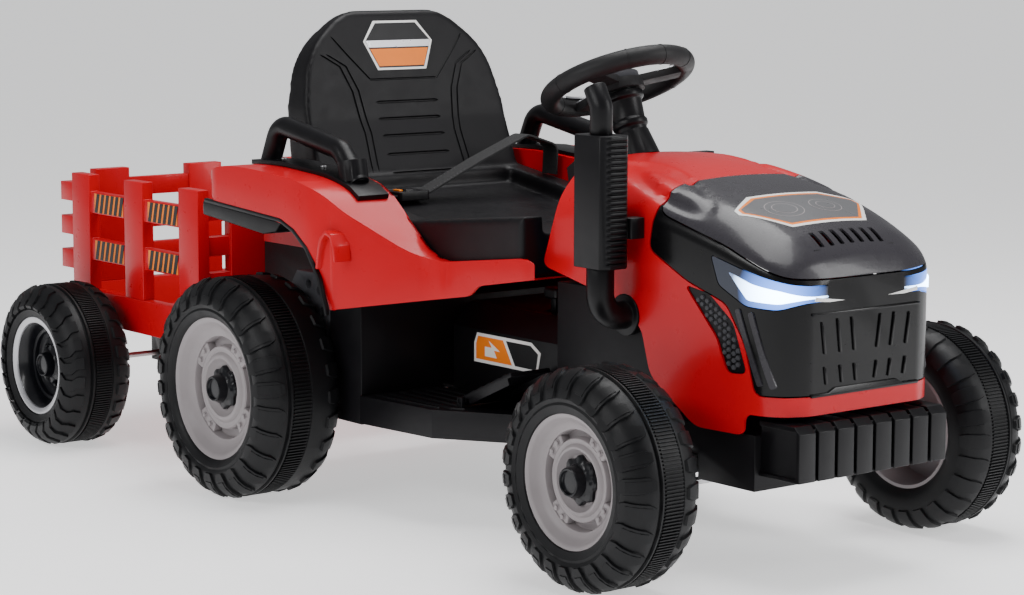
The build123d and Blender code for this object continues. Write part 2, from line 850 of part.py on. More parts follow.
def exhaust_guard():
    half = guard_width / 2
    y0 = stack_y - guard_depth / 2
    y1 = stack_y + guard_depth / 2
    case = block(stack_x - half, stack_x + half, y0, y1, guard_bottom, guard_top)
    case = chamfer(case.edges().filter_by(Axis.Z), 9)
    case -= block(stack_x - half + panel + 4, stack_x + half - panel - 4, y0 + panel + 4,
                  y1 - panel - 4, guard_bottom + panel, guard_top - panel)
    pitch = (guard_top - guard_bottom) / (guard_ribs + 1)
    for number in range(guard_ribs):
        z = guard_bottom + pitch * (number + 1)
        cut = block(stack_x - half - 1, stack_x + half + 1, y0 - 1, y1 + 1, z - 1, z + 1)
        cut -= block(stack_x - half + 3, stack_x + half - 3, y0 - 2, y1 + 2, z - 2, z + 2)
        case -= cut
    bracket_z = (guard_bottom + guard_top) / 2 - 30
    case += block(stack_x + half - 14, stack_x + half + 2, y1 - 4, -hood_half + 1,
                  bracket_z - 12, bracket_z + 12)
    return case


# ---------------------------------------------------------------- steering
def steering_column():
    """Rod with a shroud under the wheel and a crank at its foot."""
    shroud_low = hood_top + 31
    hub_low = on_hub(-16)
    foot_z = column_foot[1] + 14
    column = column_tube(foot_z, hub_low, column_radius)
    column += column_tube(shroud_low, hub_low, 18)
    foot = on_column(foot_z)
    crank_plane = Plane(foot, x_dir=(-column_axis.Z, 0, column_axis.X), z_dir=column_axis)
    arm = Pos(crank_length / 2, 0, 3) * Box(crank_length + 16, 12, 6)
    pin = Pos(crank_length, 0, -11) * Cylinder(tie_pin_radius, 28)
    return column + crank_plane * arm + crank_plane * pin


def steering_wheel():
    rim_ring = Torus(steering_rim_radius, steering_rim_thickness)
    hub = Pos(0, 0, -10) * Cylinder(30, 12)
    wheel = rim_ring + hub
    for turn in (30, 150, 270):
        spoke = Pos(steering_rim_radius / 2 + 8, 0, -5) * Box(steering_rim_radius - 16, 22, 9)
        wheel += Rot(0, 0, turn) * spoke
    wheel -= Pos(0, 0, -1) * Cylinder(27, 6.5)
    return wheel_plane * wheel


button_places = {"horn": (14, 4), "music": (-14, 4)}


def wheel_pad():
    pad = Pos(0, 0, 1) * Cylinder(27, 10)
    for x, y in button_places.values():
        pad -= Pos(x, y, 3) * Cylinder(button_radius + slide_clearance, 8)
    return wheel_plane * pad


def hub_button(name):
    x, y = button_places[name]
    cap = Pos(x, y, 5) * Cylinder(button_radius, button_height + 2)
    return wheel_plane * cap


def front_axle():
    """Crosswise beam with a kingpin bush at each end."""
    z = front_wheel.radius
    beam = middle_block(wheelbase - 9.5, wheelbase + 9.5, kingpin_y, z - 10, z + 10)
    for side in (-1, 1):
        y = side * kingpin_y
        beam += rod((wheelbase, y, z - bush_half_height), (wheelbase, y, z + bush_half_height),
                    bush_radius)
    for side in (-1, 1):
        y = side * kingpin_y
        beam -= rod((wheelbase, y, z - bush_half_height - 1),
                    (wheelbase, y, z + bush_half_height + 1),
                    kingpin_radius + running_clearance)
    return beam


def knuckle():
    """Left steering knuckle: kingpin, yoke, stub axle and steering arm."""
    z = front_wheel.radius
    low = z - bush_half_height - joint_gap
    high = z + bush_half_height + joint_gap
    outside = kingpin_y + bush_radius + joint_gap
    stub_end = web_face(front_wheel) + joint_gap + axle_nut_length
    upright = rod((wheelbase, kingpin_y, low), (wheelbase, kingpin_y, high), kingpin_radius)
    for z0 in (low - knuckle_plate, high):
        upright += rod((wheelbase, kingpin_y, z0), (wheelbase, kingpin_y, z0 + knuckle_plate),
                       bush_radius)
        upright += block(wheelbase - 11, wheelbase + 11, kingpin_y, outside + knuckle_plate,
                         z0, z0 + knuckle_plate)
    upright += block(wheelbase - 11, wheelbase + 11, outside, outside + knuckle_plate,
                     low - knuckle_plate, high + knuckle_plate)
    upright += rod((wheelbase, outside, z), (wheelbase, stub_end, z), front_wheel.axle_radius)
    upright += rod((wheelbase, web_face(front_wheel) + joint_gap, z), (wheelbase, stub_end, z),
                   axle_nut_radius)
    arm_x = wheelbase - steering_arm
    upright += block(arm_x, wheelbase, kingpin_y - 8, kingpin_y + 8, low - knuckle_plate, low)
    upright += rod((arm_x, kingpin_y, low - knuckle_plate), (arm_x, kingpin_y, low), 8)
    upright += rod((arm_x, kingpin_y, tie_rod_bottom - 3), (arm_x, kingpin_y, low),
                   tie_pin_radius)
    upright += rod((arm_x, kingpin_y, tie_rod_bottom + tie_rod_plate + joint_gap),
                   (arm_x, kingpin_y, low), tie_washer_radius)
    upright += rod((arm_x, kingpin_y, tie_rod_bottom - 3),
                   (arm_x, kingpin_y, tie_rod_bottom - joint_gap), tie_washer_radius)
    return upright


def slot_cut(x0, x1, y, half):
    """A through slot in the tie rod, along X."""
    return block(x0 - half, x1 + half, y - half, y + half, tie_rod_bottom - 1,
                 tie_rod_bottom + tie_rod_plate + 1)


def tie_rod():
    """Flat bar between the steering arms, with a tab for the column's crank."""
    x = wheelbase - steering_arm
    low, high = tie_rod_bottom, tie_rod_bottom + tie_rod_plate
    half_slot = tie_pin_radius + tie_slot_play
    crank_x = on_column(column_foot[1]).X - crank_length
    bar = middle_block(x - 7, x + 7, kingpin_y + 6, low, high)
    for side in (-1, 1):
        y = side * kingpin_y
        bar += block(x - 10, x + 14, y - 9, y + 9, low, high)
        bar -= slot_cut(x - 1, x + 5.5, y, half_slot)
    bar += middle_block(crank_x - 22, x, 13, low, high)
    bar -= slot_cut(crank_x - 12, crank_x + 22, 0, half_slot + 1.8)
    return bar


# ---------------------------------------------------------------- trailer
def trailer_tub():
    """Tray with a hollow edge that carries the fences."""
    wall = fence_thickness
    tub = middle_block(trailer_rear, trailer_front, trailer_half, tub_bottom, tub_top)
    inside = middle_block(trailer_rear + wall, trailer_front - wall, trailer_half - wall,
                          tub_bottom + tub_floor, tub_top + 1)
    channel = middle_block(trailer_rear + panel, trailer_front - panel, trailer_half - panel,
                           tub_bottom - 1, tub_top - panel)
    channel -= middle_block(trailer_rear + wall - panel, trailer_front - wall + panel,
                            trailer_half - wall + panel, tub_bottom - 2, tub_top)
    return tub - inside - channel


def side_fences():
    """Posts and two rails along each side."""
    outer = trailer_half
    inner = outer - fence_thickness
    posts = [trailer_front - post_width + 4, -397.0, -545.0]
    fence = None
    for back in posts:
        post = block(back, back + post_width - 4, inner, outer, tub_top, fence_top)
        fence = post if fence is None else fence + post
    for low in (251.0, 318.0):
        fence += block(posts[-1], trailer_front, inner + panel, inner + panel + rail_thickness,
                       low, low + 31)
    return pair(fence)


def end_fence(back, front):
    """Posts and three rails across one end, between the side fences."""
    inner = trailer_half - fence_thickness
    fence = None
    for y in (-end_post_y, 0, end_post_y):
        post = block(back, front, y - end_post_width / 2, y + end_post_width / 2, tub_top,
                     fence_top)
        fence = post if fence is None else fence + post
    rail_back = back + panel
    for low in (233.0, 282.0, 331.0):
        fence += middle_block(rail_back, rail_back + rail_thickness, inner, low, low + 27)
    return fence


def front_fence():
    return end_fence(trailer_front - fence_thickness, trailer_front)


def tail_fence():
    """The tail rails turn forward round both corners."""
    fence = end_fence(trailer_rear, trailer_rear + fence_thickness)
    inner = trailer_half - fence_thickness
    for low in (233.0, 282.0, 331.0):
        for side in (-1, 1):
            end = block(trailer_rear + panel, -545, inner, inner + panel + rail_thickness,
                        low, low + 27)
            end -= block(trailer_rear + fence_thickness, -544, inner - 2, inner + panel,
                         low - 1, low + 28)
            fence += on_side(end, side)
    return fence


def drawbar():
    """Steel frame under the tub: tongue, spine, cross plate and axle plates."""
    axle_x, axle_z = trailer_wheel.x, trailer_wheel.radius
    low = hitch_z - joint_gap - hitch_plate
    frame = middle_block(hitch_x - 60, hitch_x, drawbar_half, low, low + hitch_plate)
    frame += rod((hitch_x, 0, low), (hitch_x, 0, low + hitch_plate), drawbar_half)
    frame += middle_block(axle_x - 18, hitch_x - 54, drawbar_half, low, tub_bottom)
    frame += middle_block(axle_x - 18, axle_x + 18, bracket_y + hitch_plate, tub_bottom - 5,
                          tub_bottom)
    for side in (-1, 1):
        plate = block(axle_x - 18, axle_x + 18, bracket_y, bracket_y + hitch_plate,
                      axle_z - 12, tub_bottom)
        frame += on_side(plate, side)
    frame -= axle_hole(trailer_wheel, bracket_y + 2 * hitch_plate)
    frame -= rod((hitch_x, 0, low - 1), (hitch_x, 0, hitch_z),
                 hitch_pin_radius + running_clearance)
    return frame


def hitch_pin():
    low = hitch_z - hitch_plate - joint_gap
    pin = rod((hitch_x, 0, low - 14), (hitch_x, 0, hitch_z + hitch_plate), hitch_pin_radius)
    return pin + rod((hitch_x, 0, hitch_z + hitch_plate), (hitch_x, 0, hitch_z + hitch_plate + 5),
                     2 * hitch_pin_radius)


# ---------------------------------------------------------------- fasteners
def screws():
    """Screw heads on the handles' feet and the footboards."""
    handle = grab_handle()
    heads = []
    for x, z in ((-30, fender_top + handle_strip_height - 1), (60, fender_top + 1)):
        heads.append(rod((x, handle_y, z), (x, handle_y, z + 3), screw_radius) - handle)
    y = spine_half + 8
    for x in (skirt_front + 18, wheelbase - 268):
        heads.append(rod((x, y, floor_top), (x, y, floor_top + 1.5), screw_radius))
    left = [head.solid() for head in heads]
    return Compound(children=left + [flipped(head).solid() for head in left])


# ---------------------------------------------------------------- nodes
nodes = {
    "chassis": chassis(),
    "gearboxes": gearboxes(),
    "battery": battery(),
    "controller": controller(),
    "footboards": footboards(),
    "centre_console": centre_console(),
    "accelerator_pedal": accelerator_pedal(),
    "gear_lever": gear_lever(),
    "rear_body": rear_body(),
    "grab_handle_left": grab_handle(),
    "grab_handle_right": flipped(grab_handle()),
    "tail_light_housings": pair(tail_light_housing()),
    "tail_light_lenses": pair(tail_light_lens()),
    "seat": seat(),
    "belt_strap": belt_strap(),
    "belt_buckle": belt_buckle(),
    "hood": hood(),
    "nose_cap": nose_cap(),
    "grille": grille(),
    "headlights": headlights(),
    "side_vents": side_vents(),
    "dashboard": dashboard(),
    "power_button": power_button(),
    "bumper": bumper(),
    "exhaust_pipe": exhaust_pipe(),
    "exhaust_guard": exhaust_guard(),
    "steering_column": steering_column(),
    "steering_wheel": steering_wheel(),
    "wheel_pad": wheel_pad(),
    "horn_button": hub_button("horn"),
    "music_button": hub_button("music"),
    "front_axle": front_axle(),
    "rear_axle": straight_axle(rear_wheel),
    "knuckle_left": knuckle(),
    "knuckle_right": flipped(knuckle()),
    "tie_rod": tie_rod(),
    "trailer_tub": trailer_tub(),
    "trailer_side_fences": side_fences(),
    "trailer_front_fence": front_fence(),
    "trailer_tail_fence": tail_fence(),
    "trailer_drawbar": drawbar(),
    "trailer_axle": straight_axle(trailer_wheel),
    "hitch_pin": hitch_pin(),
    "screws": screws(),
}
for side_name, side in (("left", 1), ("right", -1)):
    for axle_name, wheel in (("front", front_wheel), ("rear", rear_wheel)):
        nodes[f"{axle_name}_tyre_{side_name}"] = on_side(tyre(wheel), side)
        nodes[f"{axle_name}_rim_{side_name}"] = on_side(rim(wheel), side)
        nodes[f"{axle_name}_hub_cap_{side_name}"] = on_side(hub_cap(wheel), side)
    nodes[f"trailer_tyre_{side_name}"] = on_side(tyre(trailer_wheel), side)
    nodes[f"trailer_rim_{side_name}"] = on_side(rim_with_cap(trailer_wheel), side)

os.makedirs("parts", exist_ok=True)
for name, part in nodes.items():
    export_step(Pos(-middle_x, 0, 0) * part, f"parts/{name}.step")
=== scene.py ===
# %% [markdown]
# # A ride-on toy tractor and its trailer
# The tractor is blow-moulded and injection-moulded plastic: hollow red shells, black seat,
# floor and tyres, grey rims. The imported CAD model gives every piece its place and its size.
# In this lesson we load that frame, then dress it piece by piece: some CAD pieces keep their
# shape and only get rounded edges, and the ones with rich shapes are modelled afresh.

# %% Load the frame
import bpy
import bmesh
import json
import math
from mathutils import Matrix, Vector
from mathutils.bvhtree import BVHTree

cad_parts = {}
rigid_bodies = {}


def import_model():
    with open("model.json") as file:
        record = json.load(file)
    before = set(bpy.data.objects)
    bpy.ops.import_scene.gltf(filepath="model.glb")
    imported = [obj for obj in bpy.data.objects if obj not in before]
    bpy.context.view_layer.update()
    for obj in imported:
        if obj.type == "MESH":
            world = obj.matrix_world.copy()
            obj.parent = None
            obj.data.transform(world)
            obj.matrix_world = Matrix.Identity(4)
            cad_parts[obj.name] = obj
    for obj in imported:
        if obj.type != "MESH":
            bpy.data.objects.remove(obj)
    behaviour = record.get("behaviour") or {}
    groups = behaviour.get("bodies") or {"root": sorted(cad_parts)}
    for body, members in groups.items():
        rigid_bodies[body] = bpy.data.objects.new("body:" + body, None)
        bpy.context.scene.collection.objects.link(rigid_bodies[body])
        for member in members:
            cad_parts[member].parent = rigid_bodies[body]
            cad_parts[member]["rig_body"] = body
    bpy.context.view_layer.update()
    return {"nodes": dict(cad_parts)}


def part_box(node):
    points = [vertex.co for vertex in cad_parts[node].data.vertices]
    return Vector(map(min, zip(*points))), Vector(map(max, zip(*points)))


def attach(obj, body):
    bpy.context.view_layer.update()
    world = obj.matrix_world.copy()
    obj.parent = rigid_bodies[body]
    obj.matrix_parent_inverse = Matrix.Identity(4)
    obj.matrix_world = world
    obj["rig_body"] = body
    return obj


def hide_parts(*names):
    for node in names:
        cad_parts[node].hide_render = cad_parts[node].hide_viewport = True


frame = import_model()

# %% [markdown]
# ## Working in millimetres from the rear axle
# A tractor is drawn from its rear axle, because every wheel and cover is placed from there.
# Blender's frame is in metres with its origin under the middle of the object. One small
# function translates, so all the sizes below can be read like the ones on a drawing.

# %% Places
MM = 0.001


def middle_of(node):
    low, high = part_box(node)
    return (low + high) / 2


axle_x = middle_of("rear_axle").x


def at(x, y, z):
    """A point given in millimetres from the rear axle, on the floor, on the centre line."""
    return Vector((axle_x + x * MM, y * MM, z * MM))


print("rear axle at x =", round(axle_x, 4))

# %% [markdown]
# ## Mesh helpers
# Moulded pieces start as simple solids: a slab cut from an outline, or a profile turned about
# an axle. Booleans join and cut them, as a mould's inserts do, and a narrow bevel gives every
# edge the small radius that lets a real part leave its mould and catch the light.

# %% Make, cut and round meshes
def mesh_object(name, vertices, faces):
    mesh = bpy.data.meshes.new(name)
    mesh.from_pydata([tuple(v) for v in vertices], [], faces)
    made = bpy.data.objects.new(name, mesh)
    bpy.context.scene.collection.objects.link(made)
    return made


def outward(piece):
    """Weld doubles and turn every face of a closed mesh outwards."""
    work = bmesh.new()
    work.from_mesh(piece.data)
    bmesh.ops.remove_doubles(work, verts=work.verts, dist=0.00002)
    bmesh.ops.recalc_face_normals(work, faces=work.faces)
    work.to_mesh(piece.data)
    work.free()
    return piece


def plain_mesh(piece):
    """Bake the modifiers into the mesh and clear them."""
    graph = bpy.context.evaluated_depsgraph_get()
    graph.update()
    piece.data = bpy.data.meshes.new_from_object(piece.evaluated_get(graph))
    piece.modifiers.clear()
    return piece


def slab(name, outline, low, high, across="Y"):
    """A solid with its outline in the two other axes, from low to high along one axis."""
    count = len(outline)

    def corner(a, b, depth):
        if across == "Y":
            return at(a, depth, b)
        if across == "X":
            return at(depth, a, b)
        return at(a, b, depth)

    points = [corner(a, b, low) for a, b in outline] + [corner(a, b, high) for a, b in outline]
    faces = [tuple(range(count)), tuple(range(2 * count - 1, count - 1, -1))]
    faces += [(i, (i + 1) % count, (i + 1) % count + count, i + count) for i in range(count)]
    return outward(mesh_object(name, points, faces))


def box(name, x0, x1, y0, y1, z0, z1):
    return slab(name, [(x0, z0), (x1, z0), (x1, z1), (x0, z1)], y0, y1)


def carve(piece, tool, operation="DIFFERENCE"):
    """Boolean one solid with another, which is used up."""
    cut = piece.modifiers.new("carve", "BOOLEAN")
    cut.operation = operation
    cut.solver = "EXACT"
    cut.object = tool
    plain_mesh(piece)
    bpy.data.objects.remove(tool)
    return piece


def rounded(piece, width, segments=3, angle=30):
    """Round the sharp edges; width is in millimetres."""
    bevel = piece.modifiers.new("round", "BEVEL")
    bevel.width = width * MM
    bevel.segments = segments
    bevel.limit_method = "ANGLE"
    bevel.angle_limit = math.radians(angle)
    bevel.harden_normals = False
    return plain_mesh(piece)


def joined(name, pieces):
    """One mesh out of several."""
    work = bmesh.new()
    for piece in pieces:
        work.from_mesh(piece.data)
        bpy.data.objects.remove(piece)
    mesh = bpy.data.meshes.new(name)
    work.to_mesh(mesh)
    work.free()
    made = bpy.data.objects.new(name, mesh)
    bpy.context.scene.collection.objects.link(made)
    return made


def mirrored(piece, name):
    """A copy on the other side of the tractor, with its faces still pointing out."""
    copy = bpy.data.objects.new(name, piece.data.copy())
    bpy.context.scene.collection.objects.link(copy)
    copy.data.transform(Matrix.Scale(-1, 4, (0, 1, 0)))
    copy.data.flip_normals()
    return copy


def finished(piece, material, body, replaces=(), smooth=38):
    """Give a piece its material, its shading and its place in the frame."""
    piece.data.materials.clear()
    piece.data.materials.append(material)
    piece.data.shade_smooth()
    piece.data.set_sharp_from_angle(angle=math.radians(smooth))
    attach(piece, body)
    if replaces:
        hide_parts(*replaces)
    return piece


print("mesh helpers ready")

# %% [markdown]
# ## Rounded copies of CAD pieces
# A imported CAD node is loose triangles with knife-sharp edges. Where its shape is already
# right, we copy it, weld the triangles, dissolve the flat ones and bevel what is left. The
# copy then stands for the node.

# %% Soften a CAD node
def softened(node, width, material, segments=2, angle=28, name=None):
    source = frame["nodes"][node]
    copy = bpy.data.objects.new(name or node + "_moulded", source.data.copy())
    bpy.context.scene.collection.objects.link(copy)
    work = bmesh.new()
    work.from_mesh(copy.data)
    bmesh.ops.remove_doubles(work, verts=work.verts, dist=0.00003)
    bmesh.ops.dissolve_limit(work, angle_limit=math.radians(1.5), verts=work.verts,
                             edges=work.edges)
    work.to_mesh(copy.data)
    work.free()
    bevel = copy.modifiers.new("round", "BEVEL")
    bevel.width = width * MM
    bevel.segments = segments
    bevel.limit_method = "ANGLE"
    bevel.angle_limit = math.radians(angle)
    plain_mesh(copy)
    body = source["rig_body"]
    return finished(copy, material, body, (node,))


print("softened() ready")

# %% [markdown]
# ## Turned pieces
# Tyres, rims and hub caps are turned about their axle. The profile is a closed line of
# (radius, distance outboard) points, and every point can be swollen by a rule of the turning
# angle, which is how the hub cap gets its scallops.

# %% Turn a closed profile about a wheel's axle
def turned(name, profile, centre, steps=96, side=1, swell=None):
    """profile holds (radius, distance from the wheel's middle plane), in millimetres."""
    points, faces = [], []
    rows = len(profile)
    for step in range(steps):
        angle = 2 * math.pi * step / steps
        for index, (radius, out) in enumerate(profile):
            reach = radius + (swell(index, angle) if swell else 0.0)
            points.append(centre + Vector((math.sin(angle) * reach, side * out,
                                           math.cos(angle) * reach)) * MM)
    for step in range(steps):
        after = (step + 1) % steps
        for row in range(rows):
            below = (row + 1) % rows
            faces.append((step * rows + row, step * rows + below, after * rows + below,
                          after * rows + row))
    return outward(mesh_object(name, points, faces))


print("turned() ready")

# %% [markdown]
# ## Repeats with Geometry Nodes
# Lugs, ribs, bolts, slots and screws are one small shape many times over. One node tree does
# them all: it lays the copies along a step, turns each one a little more than the last, makes
# them real and gives them a material. Its sizes are inputs, so a row of nine slots and a ring
# of two hundred ribs come from the same tree.

# %% The repeating tree
def repeating_tree():
    tree = bpy.data.node_groups.new("repeat_shape", "GeometryNodeTree")
    face = tree.interface
    face.new_socket("Shape", in_out="INPUT", socket_type="NodeSocketObject")
    face.new_socket("Count", in_out="INPUT", socket_type="NodeSocketInt")
    face.new_socket("Step", in_out="INPUT", socket_type="NodeSocketVector")
    face.new_socket("Turn", in_out="INPUT", socket_type="NodeSocketVector")
    face.new_socket("First Turn", in_out="INPUT", socket_type="NodeSocketVector")
    face.new_socket("Centre", in_out="INPUT", socket_type="NodeSocketVector")
    face.new_socket("Material", in_out="INPUT", socket_type="NodeSocketMaterial")
    face.new_socket("Geometry", in_out="OUTPUT", socket_type="NodeSocketGeometry")
    nodes, links = tree.nodes, tree.links
    given = nodes.new("NodeGroupInput")
    result = nodes.new("NodeGroupOutput")
    line = nodes.new("GeometryNodeMeshLine")
    shape = nodes.new("GeometryNodeObjectInfo")
    place = nodes.new("GeometryNodeInstanceOnPoints")
    index = nodes.new("GeometryNodeInputIndex")
    turn = nodes.new("ShaderNodeVectorMath")
    turn.operation = "SCALE"
    start = nodes.new("ShaderNodeVectorMath")
    start.operation = "ADD"
    real = nodes.new("GeometryNodeRealizeInstances")
    paint = nodes.new("GeometryNodeSetMaterial")
    links.new(given.outputs["Count"], line.inputs["Count"])
    links.new(given.outputs["Centre"], line.inputs["Start Location"])
    links.new(given.outputs["Step"], line.inputs["Offset"])
    links.new(given.outputs["Shape"], shape.inputs["Object"])
    links.new(given.outputs["Turn"], turn.inputs[0])
    links.new(index.outputs[0], turn.inputs["Scale"])
    links.new(turn.outputs[0], start.inputs[0])
    links.new(given.outputs["First Turn"], start.inputs[1])
    links.new(line.outputs[0], place.inputs["Points"])
    links.new(shape.outputs["Geometry"], place.inputs["Instance"])
    links.new(start.outputs[0], place.inputs["Rotation"])
    links.new(place.outputs[0], real.inputs[0])
    links.new(real.outputs[0], paint.inputs["Geometry"])
    links.new(given.outputs["Material"], paint.inputs["Material"])
    links.new(paint.outputs[0], result.inputs[0])
    return tree


repeat_shape = repeating_tree()


def repeated(name, shape, count, material, step=(0, 0, 0), turn=(0, 0, 0), first=(0, 0, 0),
             centre=(0, 0, 0)):
    """Copies of a shape that is drawn round the world's origin. Lengths are in millimetres."""
    carrier = mesh_object(name, [], [])
    modifier = carrier.modifiers.new("repeat", "NODES")
    modifier.node_group = repeat_shape
    values = {"Shape": shape, "Count": count, "Step": [s * MM for s in step],
              "Turn": [math.radians(t) for t in turn],
              "First Turn": [math.radians(t) for t in first], "Centre": centre,
              "Material": material}
    for socket in repeat_shape.interface.items_tree:
        if socket.in_out == "INPUT":
            modifier[socket.identifier] = values[socket.name]
    plain_mesh(carrier)
    bpy.data.objects.remove(shape)
    return carrier


print("inputs:", [s.name for s in repeat_shape.interface.items_tree if s.in_out == "INPUT"])

# %% [markdown]
# ## Plastics
# Moulded plastic is never one flat colour. It has a faint drift of shade, a fine spark-eroded
# grain from the mould, and gloss that changes a little with handling. One function mixes these
# from noise on object coordinates, so they stay put on the piece. Values that are even over
# the whole surface are set straight on the shader.

# %% A moulded plastic material
def noise_node(tree, coordinate, scale, detail=3.0, roughness=0.55):
    noise = tree.nodes.new("ShaderNodeTexNoise")
    noise.inputs["Scale"].default_value = scale
    noise.inputs["Detail"].default_value = detail
    noise.inputs["Roughness"].default_value = roughness
    tree.links.new(coordinate, noise.inputs["Vector"])
    return noise.outputs["Fac"]


def ranged(tree, value, low, high, start=0.3, stop=0.7):
    """Stretch a noise value between two numbers."""
    spread = tree.nodes.new("ShaderNodeMapRange")
    spread.inputs["From Min"].default_value = start
    spread.inputs["From Max"].default_value = stop
    spread.inputs["To Min"].default_value = low
    spread.inputs["To Max"].default_value = high
    tree.links.new(value, spread.inputs["Value"])
    return spread.outputs["Result"]


def mixed(tree, fac, first, second):
    """Mix two colours; each is a colour or a socket."""
    mix = tree.nodes.new("ShaderNodeMix")
    mix.data_type = "RGBA"
    for socket, value in ((mix.inputs["A"], first), (mix.inputs["B"], second)):
        if isinstance(value, tuple):
            socket.default_value = (*value, 1.0)
        else:
            tree.links.new(value, socket)
    tree.links.new(fac, mix.inputs["Factor"])
    return mix.outputs["Result"]


def moulded_plastic(name, colour, rough, grain=0.12, grain_scale=1400.0, coat=0.0, drift=0.1,
                    metallic=0.0):
    material = bpy.data.materials.new(name)
    material.use_nodes = True
    tree = material.node_tree
    shader = tree.nodes["Principled BSDF"]
    shader.inputs["Metallic"].default_value = metallic
    shader.inputs["Coat Weight"].default_value = coat
    shader.inputs["Coat Roughness"].default_value = 0.08
    shader.inputs["Specular IOR Level"].default_value = 0.22
    where = tree.nodes.new("ShaderNodeTexCoord").outputs["Object"]
    darker = tuple(c * (1 - drift) for c in colour)
    lighter = tuple(min(1.0, c * (1 + drift) + 0.0004) for c in colour)
    shade = ranged(tree, noise_node(tree, where, 9.0, 4.0), 0.0, 1.0)
    tree.links.new(mixed(tree, shade, darker, lighter), shader.inputs["Base Color"])
    handled = ranged(tree, noise_node(tree, where, 55.0, 6.0, 0.7), rough * 0.85, rough * 1.2)
    tree.links.new(handled, shader.inputs["Roughness"])
    bump = tree.nodes.new("ShaderNodeBump")
    bump.inputs["Strength"].default_value = grain
    bump.inputs["Distance"].default_value = 0.0004
    tree.links.new(noise_node(tree, where, grain_scale, 2.0), bump.inputs["Height"])
    tree.links.new(bump.outputs[0], shader.inputs["Normal"])
    return material


red = moulded_plastic("red_gloss_plastic", (0.52, 0.0, 0.007), 0.3, 0.01, 500.0, 0.09, 0.03)
black = moulded_plastic("black_satin_plastic", (0.0032, 0.0029, 0.0038), 0.36, 0.18)
floor_black = moulded_plastic("black_floor_plastic", (0.0036, 0.0032, 0.0042), 0.42, 0.35, 900.0)
gloss_black = moulded_plastic("black_gloss_plastic", (0.0015, 0.0014, 0.0018), 0.24, 0.02, 500.0,
                              0.08)
cap_grey = moulded_plastic("graphite_nose_plastic", (0.03, 0.028, 0.033), 0.27, 0.1, 1600.0, 0.15)
tyre_black = moulded_plastic("tyre_plastic_satin", (0.0042, 0.0043, 0.005), 0.44, 0.3, 1100.0)
rim_grey = moulded_plastic("warm_grey_rim_plastic", (0.27, 0.245, 0.25), 0.36, 0.12, 1300.0)
seat_black = moulded_plastic("seat_satin_plastic", (0.0032, 0.0028, 0.0038), 0.4, 0.4, 1500.0)
hub_black = moulded_plastic("hub_cap_plastic", (0.004, 0.0042, 0.006), 0.3, 0.06, 900.0, 0.2)
module_grey = moulded_plastic("dark_grey_module", (0.05, 0.05, 0.056), 0.4, 0.2)
orange = moulded_plastic("orange_button_plastic", (0.9, 0.23, 0.01), 0.25, 0.03, 500.0, 0.3)
silver = moulded_plastic("silver_paint_on_plastic", (0.5, 0.5, 0.52), 0.3, 0.08, 1800.0, 0.2,
                         0.05, 0.75)
white_print = moulded_plastic("white_print", (0.8, 0.79, 0.77), 0.35, 0.05)
orange_print = moulded_plastic("orange_print", (0.85, 0.2, 0.012), 0.35, 0.05)
black_print = moulded_plastic("black_print", (0.012, 0.012, 0.013), 0.35, 0.05)
grey_print = moulded_plastic("grey_print", (0.11, 0.11, 0.115), 0.3, 0.05)
print("plastics:", len(bpy.data.materials))

# %% [markdown]
# ## Steel, webbing and light
# The axles and links are zinc-plated or painted steel: brushed along one way, with blotches in
# the plating. The belt is a woven tape, so its bump is a fine twill made of two crossed
# waves. The headlight shines: its core is a real emitter inside a clear bluish lens.

# %% Steel, webbing, glowing lens
def plated_steel(name, colour, rough):
    material = bpy.data.materials.new(name)
    material.use_nodes = True
    tree = material.node_tree
    shader = tree.nodes["Principled BSDF"]
    shader.inputs["Metallic"].default_value = 1.0
    place = tree.nodes.new("ShaderNodeTexCoord").outputs["Object"]
    stretch = tree.nodes.new("ShaderNodeMapping")
    stretch.inputs["Scale"].default_value = (900.0, 12.0, 900.0)
    tree.links.new(place, stretch.inputs["Vector"])
    brushed = noise_node(tree, stretch.outputs[0], 1.0, 2.0)
    blotch = ranged(tree, noise_node(tree, place, 45.0, 5.0), 0.0, 1.0)
    dull = tuple(c * 0.75 for c in colour)
    tree.links.new(mixed(tree, blotch, colour, dull), shader.inputs["Base Color"])
    tree.links.new(ranged(tree, brushed, rough * 0.8, rough * 1.3), shader.inputs["Roughness"])
    bump = tree.nodes.new("ShaderNodeBump")
    bump.inputs["Strength"].default_value = 0.12
    bump.inputs["Distance"].default_value = 0.0002
    tree.links.new(brushed, bump.inputs["Height"])
    tree.links.new(bump.outputs[0], shader.inputs["Normal"])
    return material


